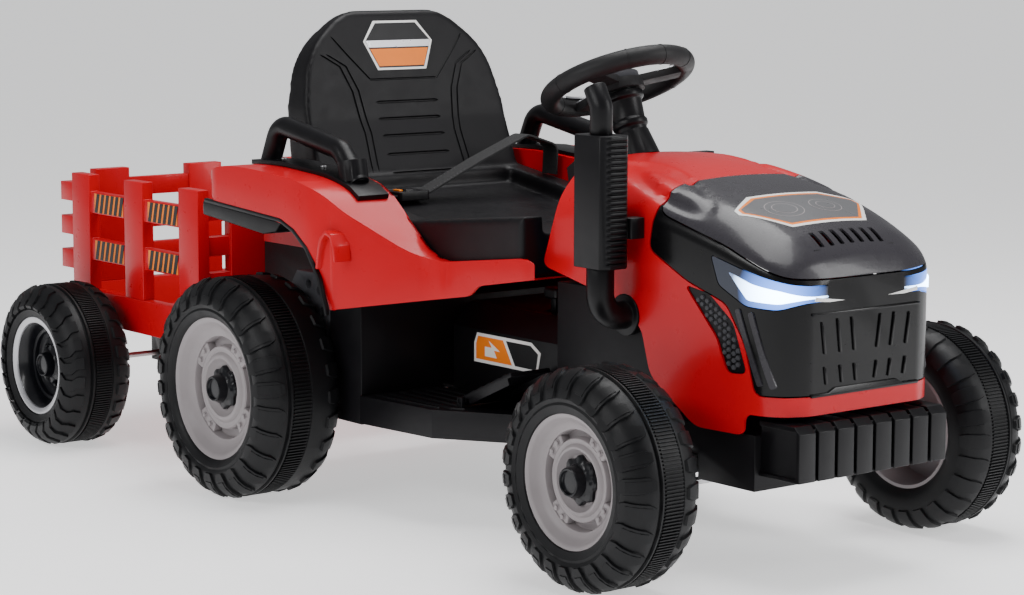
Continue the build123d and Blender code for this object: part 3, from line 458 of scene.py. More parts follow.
def twill_webbing(name, colour):
    material = bpy.data.materials.new(name)
    material.use_nodes = True
    tree = material.node_tree
    shader = tree.nodes["Principled BSDF"]
    shader.inputs["Sheen Weight"].default_value = 0.04
    shader.inputs["Sheen Roughness"].default_value = 0.5
    place = tree.nodes.new("ShaderNodeTexCoord").outputs["Object"]
    threads = []
    for turn in (45, -45):
        slope = tree.nodes.new("ShaderNodeMapping")
        slope.inputs["Rotation"].default_value = (math.radians(turn), 0.0, math.radians(turn))
        wave = tree.nodes.new("ShaderNodeTexWave")
        wave.inputs["Scale"].default_value = 190.0
        wave.inputs["Distortion"].default_value = 0.4
        tree.links.new(place, slope.inputs["Vector"])
        tree.links.new(slope.outputs[0], wave.inputs["Vector"])
        threads.append(wave.outputs["Fac"])
    weave = tree.nodes.new("ShaderNodeMath")
    weave.operation = "MAXIMUM"
    tree.links.new(threads[0], weave.inputs[0])
    tree.links.new(threads[1], weave.inputs[1])
    # The raised threads are painted lighter: a painted highlight on the thread tops of the weave.
    painted_thread_highlight = tuple(c * 1.6 + 0.001 for c in colour)
    tree.links.new(mixed(tree, weave.outputs[0], colour, painted_thread_highlight), shader.inputs["Base Color"])
    fuzz = ranged(tree, noise_node(tree, place, 300.0, 4.0), 0.7, 0.9)
    tree.links.new(fuzz, shader.inputs["Roughness"])
    bump = tree.nodes.new("ShaderNodeBump")
    bump.inputs["Strength"].default_value = 0.6
    bump.inputs["Distance"].default_value = 0.0005
    tree.links.new(weave.outputs[0], bump.inputs["Height"])
    tree.links.new(bump.outputs[0], shader.inputs["Normal"])
    return material


def glowing(name, base, colour, strength, centre, reach):
    """Light that is strongest at a centre and falls off over a distance, both in metres."""
    material = moulded_plastic(name, base, 0.12, 0.02, 300.0, 0.6)
    tree = material.node_tree
    shader = tree.nodes["Principled BSDF"]
    place = tree.nodes.new("ShaderNodeTexCoord").outputs["Object"]
    away = tree.nodes.new("ShaderNodeVectorMath")
    away.operation = "DISTANCE"
    folded = tree.nodes.new("ShaderNodeVectorMath")
    folded.operation = "ABSOLUTE"
    tree.links.new(place, folded.inputs[0])
    tree.links.new(folded.outputs[0], away.inputs[0])
    away.inputs[1].default_value = centre
    fade = ranged(tree, away.outputs["Value"], strength, 0.0, 0.0, reach)
    tree.links.new(fade, shader.inputs["Emission Strength"])
    shader.inputs["Emission Color"].default_value = (*colour, 1.0)
    return material


steel = plated_steel("zinc_plated_steel", (0.55, 0.55, 0.56), 0.32)
black_steel = moulded_plastic("black_painted_steel", (0.012, 0.012, 0.013), 0.35, 0.15, 700.0)
webbing = twill_webbing("belt_twill", (0.004, 0.004, 0.0046))
print("materials:", len(bpy.data.materials))

# %% [markdown]
# ## Camera, floor and light
# The tractor stands on a plain pale floor in a studio: a large soft light over it, a
# second from the front left to shape the hood, and a pale surround that fills the shadows.

# %% Studio
camera_data = bpy.data.cameras.new("camera")
camera_data.lens = 92.5
camera_data.sensor_width = 36.0
camera = bpy.data.objects.new("camera", camera_data)
bpy.context.scene.collection.objects.link(camera)
camera.location = (2.698, -2.091, 0.716)
camera_target = Vector((0.0579, 0.0, 0.2498))
aim = (camera_target - Vector(camera.location)).to_track_quat("-Z", "Y").to_matrix().to_4x4()
aim = aim @ Matrix.Rotation(math.radians(0.124), 4, "Z")
camera.rotation_euler = aim.to_euler()
bpy.context.scene.camera = camera


def soft_light(name, size, power, place, target=(0.0, 0.0, 0.3)):
    data = bpy.data.lights.new(name, "AREA")
    data.shape = "RECTANGLE"
    data.size, data.size_y = size
    data.energy = power
    light = bpy.data.objects.new(name, data)
    bpy.context.scene.collection.objects.link(light)
    light.location = place
    light.rotation_euler = (Vector(target) - Vector(place)).to_track_quat("-Z", "Y").to_euler()
    return light


soft_light("overhead", (2.2, 1.3), 62.0, (0.2, 0.3, 2.3))
soft_light("front_left", (0.7, 1.6), 34.0, (2.4, 1.5, 1.3))
soft_light("side_right", (2.2, 0.5), 32.0, (0.2, -2.6, 1.6))

surround = bpy.data.worlds.new("surround")
surround.use_nodes = True
surround.node_tree.nodes["Background"].inputs["Color"].default_value = (0.96, 0.97, 1.0, 1.0)
surround.node_tree.nodes["Background"].inputs["Strength"].default_value = 0.3
backdrop = surround.node_tree.nodes.new("ShaderNodeBackground")
backdrop.inputs["Color"].default_value = (1.0, 1.0, 1.0, 1.0)
backdrop.inputs["Strength"].default_value = 3.2
seen = surround.node_tree.nodes.new("ShaderNodeLightPath")
choose = surround.node_tree.nodes.new("ShaderNodeMixShader")
surround.node_tree.links.new(seen.outputs["Is Camera Ray"], choose.inputs["Fac"])
surround.node_tree.links.new(surround.node_tree.nodes["Background"].outputs[0],
                             choose.inputs[1])
surround.node_tree.links.new(backdrop.outputs[0], choose.inputs[2])
surround.node_tree.links.new(choose.outputs[0],
                             surround.node_tree.nodes["World Output"].inputs["Surface"])
bpy.context.scene.world = surround

floor = mesh_object("studio_floor", [(-30, -30, 0), (30, -30, 0), (30, 30, 0), (-30, 30, 0)],
                    [(0, 1, 2, 3)])
pale_floor = moulded_plastic("pale_floor", (0.86, 0.86, 0.87), 0.55, 0.02, 60.0, 0.0, 0.01)
pale_floor.node_tree.nodes["Principled BSDF"].inputs["Emission Color"].default_value = (1, 1, 1, 1)
pale_floor.node_tree.nodes["Principled BSDF"].inputs["Emission Strength"].default_value = 0.75
floor.data.materials.append(pale_floor)
print("camera", [round(c, 3) for c in camera.location])

# %% [markdown]
# # Wheels
# All six tyres are blown from plastic, not rubber. Each has a smooth sidewall, a round
# shoulder with raised lugs, a thin ridge, a knurled band round the crown and plainer lugs on
# the inboard shoulder. We turn the bare body from a profile, then lay lugs and ribs on that
# same profile, so they follow the shoulder's curve exactly.

# %% Wheel sizes from the frame
class Wheel:
    """Sizes of one wheel in millimetres, read from its CAD tyre."""

    def __init__(self, tyre_node, rim_radius, inset):
        low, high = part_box(tyre_node)
        self.radius = (high.z - low.z) / 2 / MM
        self.centre = Vector(((low.x + high.x) / 2, 0.0, (low.z + high.z) / 2))
        self.face = high.y / MM
        self.inner = low.y / MM
        self.rim = rim_radius
        self.lip = self.face - inset
        self.inset = inset


wheels = {"rear": Wheel("rear_tyre_left", 90.4, 10.0),
          "front": Wheel("front_tyre_left", 75.0, 8.0),
          "trailer": Wheel("trailer_tyre_left", 68.4, 8.0)}
LUG_HEIGHT = 3.2
for label, wheel in wheels.items():
    print(label, "radius", round(wheel.radius, 1), "faces", round(wheel.inner), round(wheel.face))


# %% The tyre's outer line, from the outboard lip to the inboard lip
def arc_points(radius, out, size, outboard, steps=8):
    """A quarter round from the sidewall to the crown, or back."""
    points = []
    for step in range(steps + 1):
        angle = math.radians(90 * step / steps)
        points.append((radius - size + size * math.sin(angle),
                       out + outboard * (size * math.cos(angle) - size)))
    return points


def tyre_line(wheel, shoulder=30.0):
    crown = wheel.radius - LUG_HEIGHT
    face, inner, rim = wheel.face, wheel.inner, wheel.rim
    line = [(rim - 1, wheel.lip), (rim + 1.5, wheel.lip + 4), (rim + 5, face - 3),
            (rim + 10, face - 1.2), (rim + 13, face - 2.2), (rim + 16, face - 0.8)]
    line += arc_points(crown, face, shoulder, 1)
    ridge = face - shoulder
    line += [(crown - 1.5, ridge - 2), (crown - 1.5, ridge - 3), (crown + 1.8, ridge - 4),
             (crown + 1.8, ridge - 6), (crown - 0.8, ridge - 7), (crown - 0.8, ridge - 35),
             (crown + 0.6, ridge - 36), (crown + 0.6, ridge - 38)]
    line += list(reversed(arc_points(crown, inner, shoulder - 4, -1)))
    line += [(rim + 12, inner + 1), (rim + 4, inner + 3), (rim - 1, inner + wheel.inset)]
    return line


def along_line(line, distance):
    """Point and outward normal at a distance along the line."""
    for (r0, o0), (r1, o1) in zip(line, line[1:]):
        length = math.hypot(r1 - r0, o1 - o0)
        if distance <= length and length > 0:
            part = distance / length
            return (r0 + (r1 - r0) * part, o0 + (o1 - o0) * part,
                    (o0 - o1) / length, (r1 - r0) / length)
        distance -= length
    raise ValueError("past the end of the line")


rear_line = tyre_line(wheels["rear"])
print("points in the rear tyre's line:", len(rear_line))


# %% A lug that lies on the line
def lug(name, line, rows, height, side):
    """rows hold (distance along the line, shift sideways, half width), in millimetres."""
    points, faces = [], []
    lift = [-1.0, height, height, height, -1.0]
    last = len(rows) - 1
    grid = [(rows[0][0] - 1.6, rows[0][1], rows[0][2] - 1.0, True)]
    grid += [(*row, False) for row in rows]
    grid += [(rows[last][0] + 1.6, rows[last][1], rows[last][2] - 1.0, True)]
    for distance, shift, half, sunk in grid:
        radius, out, normal_r, normal_o = along_line(line, distance)
        for column, across in enumerate((-half - 1.3, -half, 0.0, half, half + 1.3)):
            rise = -1.0 if sunk else lift[column]
            reach = radius + rise * normal_r
            angle = (shift + across) / radius
            points.append(Vector((math.sin(angle) * reach, side * (out + rise * normal_o),
                                  math.cos(angle) * reach)) * MM)
    wide = 5
    for row in range(len(grid) - 1):
        for column in range(wide - 1):
            a = row * wide + column
            faces.append((a, a + 1, a + wide + 1, a + wide))
    rim_loop = list(range(wide))
    rim_loop += [row * wide + wide - 1 for row in range(1, len(grid))]
    rim_loop += [(len(grid) - 1) * wide + c for c in range(wide - 2, -1, -1)]
    rim_loop += [row * wide for row in range(len(grid) - 2, 0, -1)]
    faces.append(tuple(rim_loop))
    return outward(mesh_object(name, points, faces))


def line_length(line):
    return sum(math.hypot(b[0] - a[0], b[1] - a[1]) for a, b in zip(line, line[1:]))


print("rear line length:", round(line_length(rear_line)))

# %% [markdown]
# ## Tread patterns
# The tractor's lugs are stretched hexagons with a raised window: a low pad with a rim round
# it. The trailer's lugs zigzag. Twenty-six lugs go round each shoulder, and two hundred fine
# ribs go round the knurled band; all are rings made by the repeating tree.

# %% Build the six tyres
LUGS = 26
KNURLS = 190


def shoulder_rows(start, pattern):
    return [(start + distance, shift, half) for distance, shift, half in pattern]


def tyre_piece(kind, side, word):
    wheel = wheels[kind]
    line = tyre_line(wheel)
    body = turned("body", line, wheel.centre, 144, side)
    lip_to_shoulder = wheel.radius - LUG_HEIGHT - 30 - wheel.rim
    start = lip_to_shoulder + 5
    end = line_length(line)
    pitch = 2 * math.pi * wheel.radius / LUGS
    wide = pitch * 0.27
    if kind == "trailer":
        outer = [(0, -4, wide * 0.8), (9, -4, wide), (17, 4, wide), (27, 4, wide),
                 (35, -2, wide), (44, -2, wide)]
        inner = [(0, 0, wide), (12, 0, wide), (20, 5, wide), (32, 5, wide), (42, 0, wide)]
    else:
        outer = [(0, 0, wide * 0.6), (7, 0, wide), (16, 0, wide), (26, 0, wide),
                 (34, 0, wide), (42, 0, wide * 0.55)]
        inner = [(0, 0, wide * 0.7), (8, 0, wide), (18, 0, wide), (28, 0, wide),
                 (37, 0, wide * 0.8)]
    inboard = end - start - 44
    parts = [body]
    turn = (0, 360 / LUGS, 0)
    for label, first, rows in (("outer", 0, shoulder_rows(start, outer)),
                               ("inner", 180 / LUGS, shoulder_rows(inboard, inner))):
        shape = lug("lug", line, rows, LUG_HEIGHT, side)
        parts.append(repeated(label + "_lugs", shape, LUGS, tyre_black, turn=turn,
                              first=(0, first, 0), centre=wheel.centre))
    if kind != "trailer":
        window = [(d + 3, s, h * 0.62) for d, s, h in shoulder_rows(start, outer)[1:-1]]
        shape = lug("window", line, window, LUG_HEIGHT + 0.7, side)
        parts.append(repeated("windows", shape, LUGS, tyre_black, turn=turn,
                              centre=wheel.centre))
    crown = wheel.radius - LUG_HEIGHT
    band_low, band_high = wheel.face - 30 - 34, wheel.face - 30 - 9
    rib = slab("rib", [(-1.1, crown - 2), (1.1, crown - 2), (0.7, crown + 1.6),
                       (-0.7, crown + 1.6)], side * band_low, side * band_high)
    rib.data.transform(Matrix.Translation((-axle_x, 0, 0)))
    parts.append(repeated("knurls", rib, KNURLS, tyre_black, turn=(0, 360 / KNURLS, 0),
                          centre=wheel.centre))
    piece = joined(f"{kind}_tyre_{word}_moulded", parts)
    body_name = f"{kind}_wheel_{word}"
    return finished(piece, tyre_black, body_name, (f"{kind}_tyre_{word}",), 32)


for kind in wheels:
    for side, word in ((1, "left"), (-1, "right")):
        tyre = tyre_piece(kind, side, word)
        print(tyre.name, len(tyre.data.polygons), "faces")

# %% [markdown]
# ## Rims
# The tractor's rims are pressed-steel wheels copied in plastic: a rolled lip, a bowl, a
# slotted ring with four pairs of bolts, and a raised ring round the hub. The bowl is turned in
# one go with a deep groove for the slots, then four lobes bridge the groove and carry bolts.

# %% Tractor rims
def sector(name, r0, r1, half_angle, out0, out1, side, steps=6):
    """A piece of a flat ring, drawn at the top of the wheel."""
    points, faces = [], []
    for step in range(steps + 1):
        angle = math.radians(-half_angle + 2 * half_angle * step / steps)
        for radius, out in ((r0, out0), (r1, out0), (r1, out1), (r0, out1)):
            points.append(Vector((math.sin(angle) * radius, side * out,
                                  math.cos(angle) * radius)) * MM)
    for step in range(steps):
        for corner in range(4):
            a, b = step * 4 + corner, step * 4 + (corner + 1) % 4
            faces.append((a, b, b + 4, a + 4))
    faces += [(0, 1, 2, 3), tuple(steps * 4 + c for c in (3, 2, 1, 0))]
    return outward(mesh_object(name, points, faces))


def bolt(name, radius, angle, reach, out, side):
    """A domed hexagon head on a washer."""
    profile = [(0.01, -2), (radius * 1.3, -2), (radius * 1.3, 0.6), (radius, 0.9),
               (radius, 2.6), (radius * 0.7, 3.4), (0.01, 3.6)]
    head = turned(name, profile, Vector((0, 0, 0)), 12)
    flip = Matrix.Scale(side, 4, (0, 1, 0))
    spot = Vector((math.sin(math.radians(angle)) * reach, side * out,
                   math.cos(math.radians(angle)) * reach)) * MM
    head.data.transform(Matrix.Translation(spot) @ flip)
    return outward(head)


def rim_profile(wheel, bore):
    rim, lip = wheel.rim, wheel.lip
    scale = (rim - 27) / (90.4 - 27)

    def down(step):
        return rim - step * scale

    front = [(rim + 2, lip - 4), (rim + 1.8, lip + 1), (rim, lip + 2.4), (down(4), lip + 1.6),
             (down(7), lip - 1), (down(12), lip - 7), (down(18), lip - 10.5),
             (down(24), lip - 12), (down(25.2), lip - 14), (down(26), lip - 24),
             (down(36), lip - 24), (down(37), lip - 14.4), (down(38.5), lip - 13),
             (down(45), lip - 13.5), (down(48), lip - 10.5), (down(50), lip - 9.6),
             (down(53), lip - 10), (down(57), lip - 15), (down(62), lip - 18),
             (bore, lip - 19)]
    back = [(bore, wheel.inner + 0.5), (20, wheel.inner + 0.5), (21, lip - 30),
            (rim - 6, lip - 30), (rim - 5, wheel.inner + wheel.inset),
            (rim - 0.5, wheel.inner + wheel.inset), (rim - 0.5, lip - 6)]
    return front + back, scale


def rim_piece(kind, side, word, bore):
    wheel = wheels[kind]
    profile, scale = rim_profile(wheel, bore)
    parts = [turned("bowl", profile, wheel.centre, 96, side)]
    lobe = sector("lobe", wheel.rim - 38 * scale, wheel.rim - 25 * scale, 17, wheel.lip - 26,
                  wheel.lip - 12.6, side)
    lobe = rounded(lobe, 1.6)
    bolts = joined("bolts", [bolt("b", 3.1, a, wheel.rim - 31.5 * scale, wheel.lip - 12.6, side)
                             for a in (-7.5, 7.5)])
    for label, shape in (("lobes", lobe), ("bolts", bolts)):
        parts.append(repeated(label, shape, 4, rim_grey, turn=(0, 90, 0), first=(0, 38, 0),
                              centre=wheel.centre))
    piece = joined(f"{kind}_rim_{word}_moulded", parts)
    return finished(piece, rim_grey, f"{kind}_wheel_{word}",
                    (f"{kind}_rim_{word}",), 35)


for kind, bore in (("rear", 6.1), ("front", 5.1)):
    for side, word in ((1, "left"), (-1, "right")):
        print(rim_piece(kind, side, word, bore).name)

# %% [markdown]
# ## Hub caps and the trailer's wheels
# A hub cap hides the axle's nut. It is a scalloped collar with a short barrel and a sunk
# front, turned like the rest, but its collar swells and shrinks eight times round. The
# trailer's wheels have a silver-painted lip and a deep black dish with the same cap.

# %% Hub caps and trailer rims
def cap_profile(base, reach):
    return [(8, base), (25, base), (26.3, base + 1.5), (26.3, base + 7), (24.5, base + 9),
            (19.5, base + 10), (17.5, base + 12), (16.6, base + reach - 3),
            (15.8, base + reach - 0.6), (14.6, base + reach), (13.4, base + reach - 0.6),
            (12.8, base + reach - 3), (12.3, base + reach - 3.6), (5, base + reach - 3.2),
            (0.01, base + reach - 3.2), (0.01, base + reach - 8), (8, base + reach - 8)]


def scallop(index, angle):
    return 2.0 * math.cos(8 * angle) if 1 <= index <= 4 else 0.0


def hub_cap(kind, side, word, base, nodes):
    wheel = wheels[kind]
    cap = turned(f"{kind}_hub_cap_{word}_moulded", cap_profile(base, 24.0), wheel.centre, 96,
                 side, scallop)
    return finished(cap, hub_black, f"{kind}_wheel_{word}", nodes, 35)


def trailer_rim(side, word):
    wheel = wheels["trailer"]
    rim, lip = wheel.rim, wheel.lip
    ring = turned(f"trailer_rim_ring_{word}",
                  [(rim + 2, lip - 4), (rim + 1.8, lip + 1), (rim - 0.5, lip + 2.6),
                   (rim - 3, lip + 2.4), (rim - 8, lip + 0.6), (rim - 9, lip - 1),
                   (rim - 9, lip - 6), (rim - 1, lip - 6)], wheel.centre, 96, side)
    finished(ring, silver, f"trailer_wheel_{word}", (), 35)
    dish = turned(f"trailer_rim_dish_{word}",
                  [(rim - 9.2, lip - 1.5), (rim - 13, lip - 5), (rim - 17, lip - 14),
                   (rim - 18, lip - 20), (rim - 22, lip - 21), (rim - 23, lip - 26),
                   (rim - 29, lip - 27), (rim - 31, lip - 29), (4.1, lip - 29),
                   (4.1, wheel.inner + 0.5), (20, wheel.inner + 0.5), (20, lip - 34),
                   (rim - 5, lip - 34), (rim - 5, wheel.inner + 8), (rim - 0.5, wheel.inner + 8),
                   (rim - 0.5, lip - 6.2), (rim - 9.2, lip - 6.2)], wheel.centre, 96, side)
    knob = bolt("knob", 3.6, 0, 30, lip - 28, side)
    knobs = repeated("knobs", knob, 8, hub_black, turn=(0, 45, 0), centre=wheel.centre)
    dish = joined(dish.name, [dish, knobs])
    return finished(dish, hub_black, f"trailer_wheel_{word}",
                    (f"trailer_rim_{word}",), 35)


for side, word in ((1, "left"), (-1, "right")):
    for kind in ("rear", "front"):
        hub_cap(kind, side, word, wheels[kind].lip - 21, (f"{kind}_hub_cap_{word}",))
    hub_cap("trailer", side, word, wheels["trailer"].lip - 30, ())
    trailer_rim(side, word)
print("hub caps and trailer rims on")

# %% [markdown]
# # The engine cover
# Hood, nose cap, grille, lamps and side vents share one skin, as they would on the styling
# model. So we make that skin once, as a smooth loft through a few stations, and cut it into
# pieces with side-view outlines. A small gap between them shows the seams.

# %% Stations of the loft
WHEELBASE = (middle_of("front_axle").x - axle_x) / MM
SKIN = 3.0
# each: forward of the front axle, half width, top height, shoulder drop, half width of the top
stations = [(-290, 152, 452, 60, 104), (-262, 150, 452, 56, 106), (-158, 144, 452, 46, 110),
            (-58, 140, 438, 34, 110), (42, 134, 412, 30, 102), (106, 127, 388, 26, 92),
            (132, 114, 370, 20, 82), (148, 92, 352, 15, 66)]


def smooth_between(values, position):
    """Catmull-Rom through (position, value) pairs."""
    last = len(values) - 1
    for index in range(last):
        (x1, v1), (x2, v2) = values[index], values[index + 1]
        if x1 <= position <= x2 or index == last - 1:
            x0, v0 = values[max(index - 1, 0)]
            x3, v3 = values[min(index + 2, last)]
            part = (position - x1) / (x2 - x1)
            slope1 = (v2 - v0) / (x2 - x0) * (x2 - x1)
            slope2 = (v3 - v1) / (x3 - x1) * (x2 - x1)
            square, cube = part * part, part ** 3
            return ((2 * cube - 3 * square + 1) * v1 + (cube - 2 * square + part) * slope1
                    + (3 * square - 2 * cube) * v2 + (cube - square) * slope2)
    return values[-1][1]


def station(forward):
    return [smooth_between([(s[0], s[column]) for s in stations], forward)
            for column in range(1, 5)]


def rounded_corner(before, corner, after, reach, steps=6):
    """A quadratic curve that replaces one corner of a polyline."""
    start = corner + (before - corner).normalized() * reach
    stop = corner + (after - corner).normalized() * reach
    points = []
    for step in range(steps + 1):
        part = step / steps
        points.append(start * (1 - part) ** 2 + corner * 2 * part * (1 - part)
                      + stop * part ** 2)
    return points


def scoop(x, y):
    """Depth of the oval air scoops in the top of the hood."""
    across, along = abs(y) - 97 - (x - 585) * 0.16, x - 585
    ring = math.hypot(along / 98, across / 30)
    island = math.hypot((along - 12) / 46, across / 13)
    dish = 5.0 * (1 - min(1.0, max(0.0, (ring - 0.62) / 0.38)) ** 2) if ring < 1 else 0.0
    fill = 4.2 * max(0.0, 1 - max(0.0, island - 1) / 0.45) if island < 1.45 else 0.0
    return dish - min(dish, fill)


def section(forward, inset, bottom, detailed):
    """Points of the cover's cross-section, from the right foot over the top to the left."""
    half, top, shoulder, flat = station(forward)
    squeeze = 0.0
    if forward > 136:
        squeeze = 12 - math.sqrt(max(0.0, 144 - (forward - 136) ** 2))
    half, top, flat = half - inset - squeeze, top - inset - squeeze, flat - inset * 0.6
    foot, knee = Vector((half, bottom)), Vector((half, top - shoulder))
    brow, crown = Vector((flat, top - 1.5)), Vector((0, top + 3))
    right = [foot + (knee - foot) * part for part in (0, 0.2, 0.4, 0.6, 0.8)]
    slope = (brow - knee).length
    right += rounded_corner(foot, knee, brow, slope * 0.32)
    right += rounded_corner(knee, brow, crown, slope * 0.6, 8)
    for step in range(1, 17):
        part = step / 16
        inner = brow + (crown - brow).normalized() * slope * 0.6
        right.append(Vector((inner.x * (1 - part), inner.y + (crown.y - inner.y)
                             * math.sin(part * math.pi / 2))))
    x = WHEELBASE + forward
    if detailed:
        smooth = list(right)
        for index in range(5, len(right) - 1):
            run = (smooth[index + 1] - smooth[index - 1]).normalized()
            depth = scoop(x, smooth[index].x)
            right[index] = smooth[index] + Vector((-run.y, run.x)) * depth
    left = [Vector((-p.x, p.y)) for p in reversed(right[:-1])]
    return [at(x, -p.x, p.y) for p in right] + [at(x, -p.x, p.y) for p in left]


def cover_body(name, inset, start, stop, bottom, detailed=False):
    rows = []
    steps = 84 if detailed else 44
    places = [start + (stop - start) * i / steps for i in range(steps + 1)]
    if stop > 136:
        places = sorted(set(places + [137, 140, 143, 145, 146.5, 147.5]))
        places = [p for p in places if p <= stop]
    for forward in places:
        rows.append(section(forward, inset, bottom, detailed))
    wide = len(rows[0])
    points = [p for row in rows for p in row]
    faces = []
    for row in range(len(rows) - 1):
        for column in range(wide):
            a, b = row * wide + column, row * wide + (column + 1) % wide
            faces.append((a, b, b + wide, a + wide))
    faces.append(tuple(range(wide)))
    faces.append(tuple(range((len(rows) - 1) * wide, len(rows) * wide)))
    return outward(mesh_object(name, points, faces))


outer_body = cover_body("outer_body", 0.0, -262, 148, 150, True)
inner_body = cover_body("inner_body", SKIN, -280, 148 - SKIN, 140, True)
print("cover faces:", len(outer_body.data.polygons))

# %% [markdown]
# ## Cutting the skin
# Every part line is an outline seen from the side. The outlines have rounded corners, like
# the real seams, and each is drawn once and used twice: to cut the piece out, and, swollen by
# the width of the gap, to cut it away from its neighbour.

# %% Part lines
def soft_outline(points, reach=10):
    """Round every corner of a closed outline."""
    line = [Vector(p) for p in points]
    smooth = []
    for index, corner in enumerate(line):
        before, after = line[index - 1], line[(index + 1) % len(line)]
        room = min((before - corner).length, (after - corner).length) * 0.45
        smooth += rounded_corner(before, corner, after, min(reach, room), 5)
    return [(p.x, p.y) for p in smooth]


def swollen(outline, amount):
    """The same closed outline moved outwards."""
    area = sum(a[0] * b[1] - b[0] * a[1] for a, b in zip(outline, outline[1:] + outline[:1]))
    sign = 1 if area > 0 else -1
    grown = []
    for index, point in enumerate(outline):
        before, after = Vector(outline[index - 1]), Vector(outline[(index + 1) % len(outline)])
        run = (after - before).normalized()
        grown.append((point[0] + sign * run.y * amount, point[1] - sign * run.x * amount))
    return grown


F = WHEELBASE
nose_line = soft_outline([(F - 62, 490), (F - 48, 408), (F - 56, 364), (F + 3, 334),
                          (F + 64, 314), (F + 92, 271), (F + 106, 217), (F + 200, 217),
                          (F + 200, 490)])
cap_line = soft_outline([(F - 76, 500), (F - 46, 406), (F + 60, 377), (F + 139, 345),
                         (F + 200, 336), (F + 200, 500)], 16)
lamp_line = soft_outline([(F + 40, 366), (F + 52, 334), (F + 92, 314), (F + 130, 312),
                          (F + 152, 322), (F + 152, 336), (F + 128, 343), (F + 78, 356)], 6)
vent_line = soft_outline([(F + 2, 328), (F + 38, 322), (F + 74, 294), (F + 94, 240),
                          (F + 67, 238), (F + 50, 276)], 8)
hood_line = soft_outline([(F - 236, 328), (F - 214, 392), (F - 212, 480), (F + 200, 480),
                          (F + 200, 195), (F + 92, 195), (F + 92, 171), (F + 19, 171),
                          (F - 53, 220), (F - 68, 273), (F - 122, 302)], 12)


def copied(piece, name):
    copy = bpy.data.objects.new(name, piece.data.copy())
    bpy.context.scene.collection.objects.link(copy)
    return copy


def cut_from_skin(name, line, keep=(), drop=(), y0=-200, y1=200):
    """The part of the skin inside some outlines and outside others."""
    piece = copied(outer_body, name)
    for outline in (line, *keep):
        carve(piece, slab("keep", outline, y0, y1), "INTERSECT")
    for outline, low, high in drop:
        carve(piece, slab("drop", outline, low, high))
    carve(piece, copied(inner_body, "hollow"))
    return outward(piece)


GAP = 0.9
cap_piece = cut_from_skin("nose_cap_moulded", swollen(cap_line, -GAP), (swollen(nose_line, -GAP),))
grille_piece = cut_from_skin("grille_moulded", swollen(nose_line, -GAP), (),
                             ((swollen(cap_line, GAP), -200, 200),
                              (swollen(lamp_line, GAP), 60, 200),
                              (swollen(lamp_line, GAP), -200, -60)))
hood_piece = cut_from_skin("hood_moulded", hood_line, (),
                           ((swollen(nose_line, GAP), -200, 200),
                            (swollen(vent_line, GAP), 80, 200),
                            (swollen(vent_line, GAP), -200, -80)))
print("cap, grille, hood:", [len(p.data.polygons) for p in (cap_piece, grille_piece, hood_piece)])

# %% Openings for the column and the exhaust
COLUMN_LEAN = math.radians(24.7)
column_up = Vector((-math.sin(COLUMN_LEAN), 0, math.cos(COLUMN_LEAN)))
wheel_centre = middle_of("steering_wheel")
wheel_centre.y = 0.0


def rod(name, start, end, radius, steps=32):
    """A round bar between two places in metres; radius in millimetres."""
    work = bmesh.new()
    bmesh.ops.create_cone(work, cap_ends=True, segments=steps, radius1=radius * MM,
                          radius2=radius * MM, depth=(end - start).length)
    turn = (end - start).to_track_quat("Z", "Y").to_matrix().to_4x4()
    bmesh.ops.transform(work, matrix=Matrix.Translation((start + end) / 2) @ turn,
                        verts=work.verts)
    mesh = bpy.data.meshes.new(name)
    work.to_mesh(mesh)
    work.free()
    made = bpy.data.objects.new(name, mesh)
    bpy.context.scene.collection.objects.link(made)
    return made


carve(hood_piece, rod("hole", wheel_centre - column_up * 0.13, wheel_centre - column_up * 0.02,
                      26.5))
exhaust_x = (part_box("exhaust_guard")[0].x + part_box("exhaust_guard")[1].x) / 2
foot = Vector((exhaust_x, 0, 0.284))
carve(hood_piece, rod("hole", foot - Vector((0, 0.132, 0)), foot - Vector((0, 0.149, 0)), 24.5))
finished(hood_piece, red, "tractor", ("hood",), 30)

# %% [markdown]
# ## The nose
# The nose cap is graphite plastic with a printed hexagon badge and seven slanted slots. The
# badge is a sticker: thin layers of film laid on the curved cap, one inside the other. To lay
# a flat outline on a curved skin, we fill it with a fine grid and drop each point on the skin.

# %% Stickers that follow a surface
def skin_tree(piece):
    graph = bpy.context.evaluated_depsgraph_get()
    return BVHTree.FromObject(piece, graph)


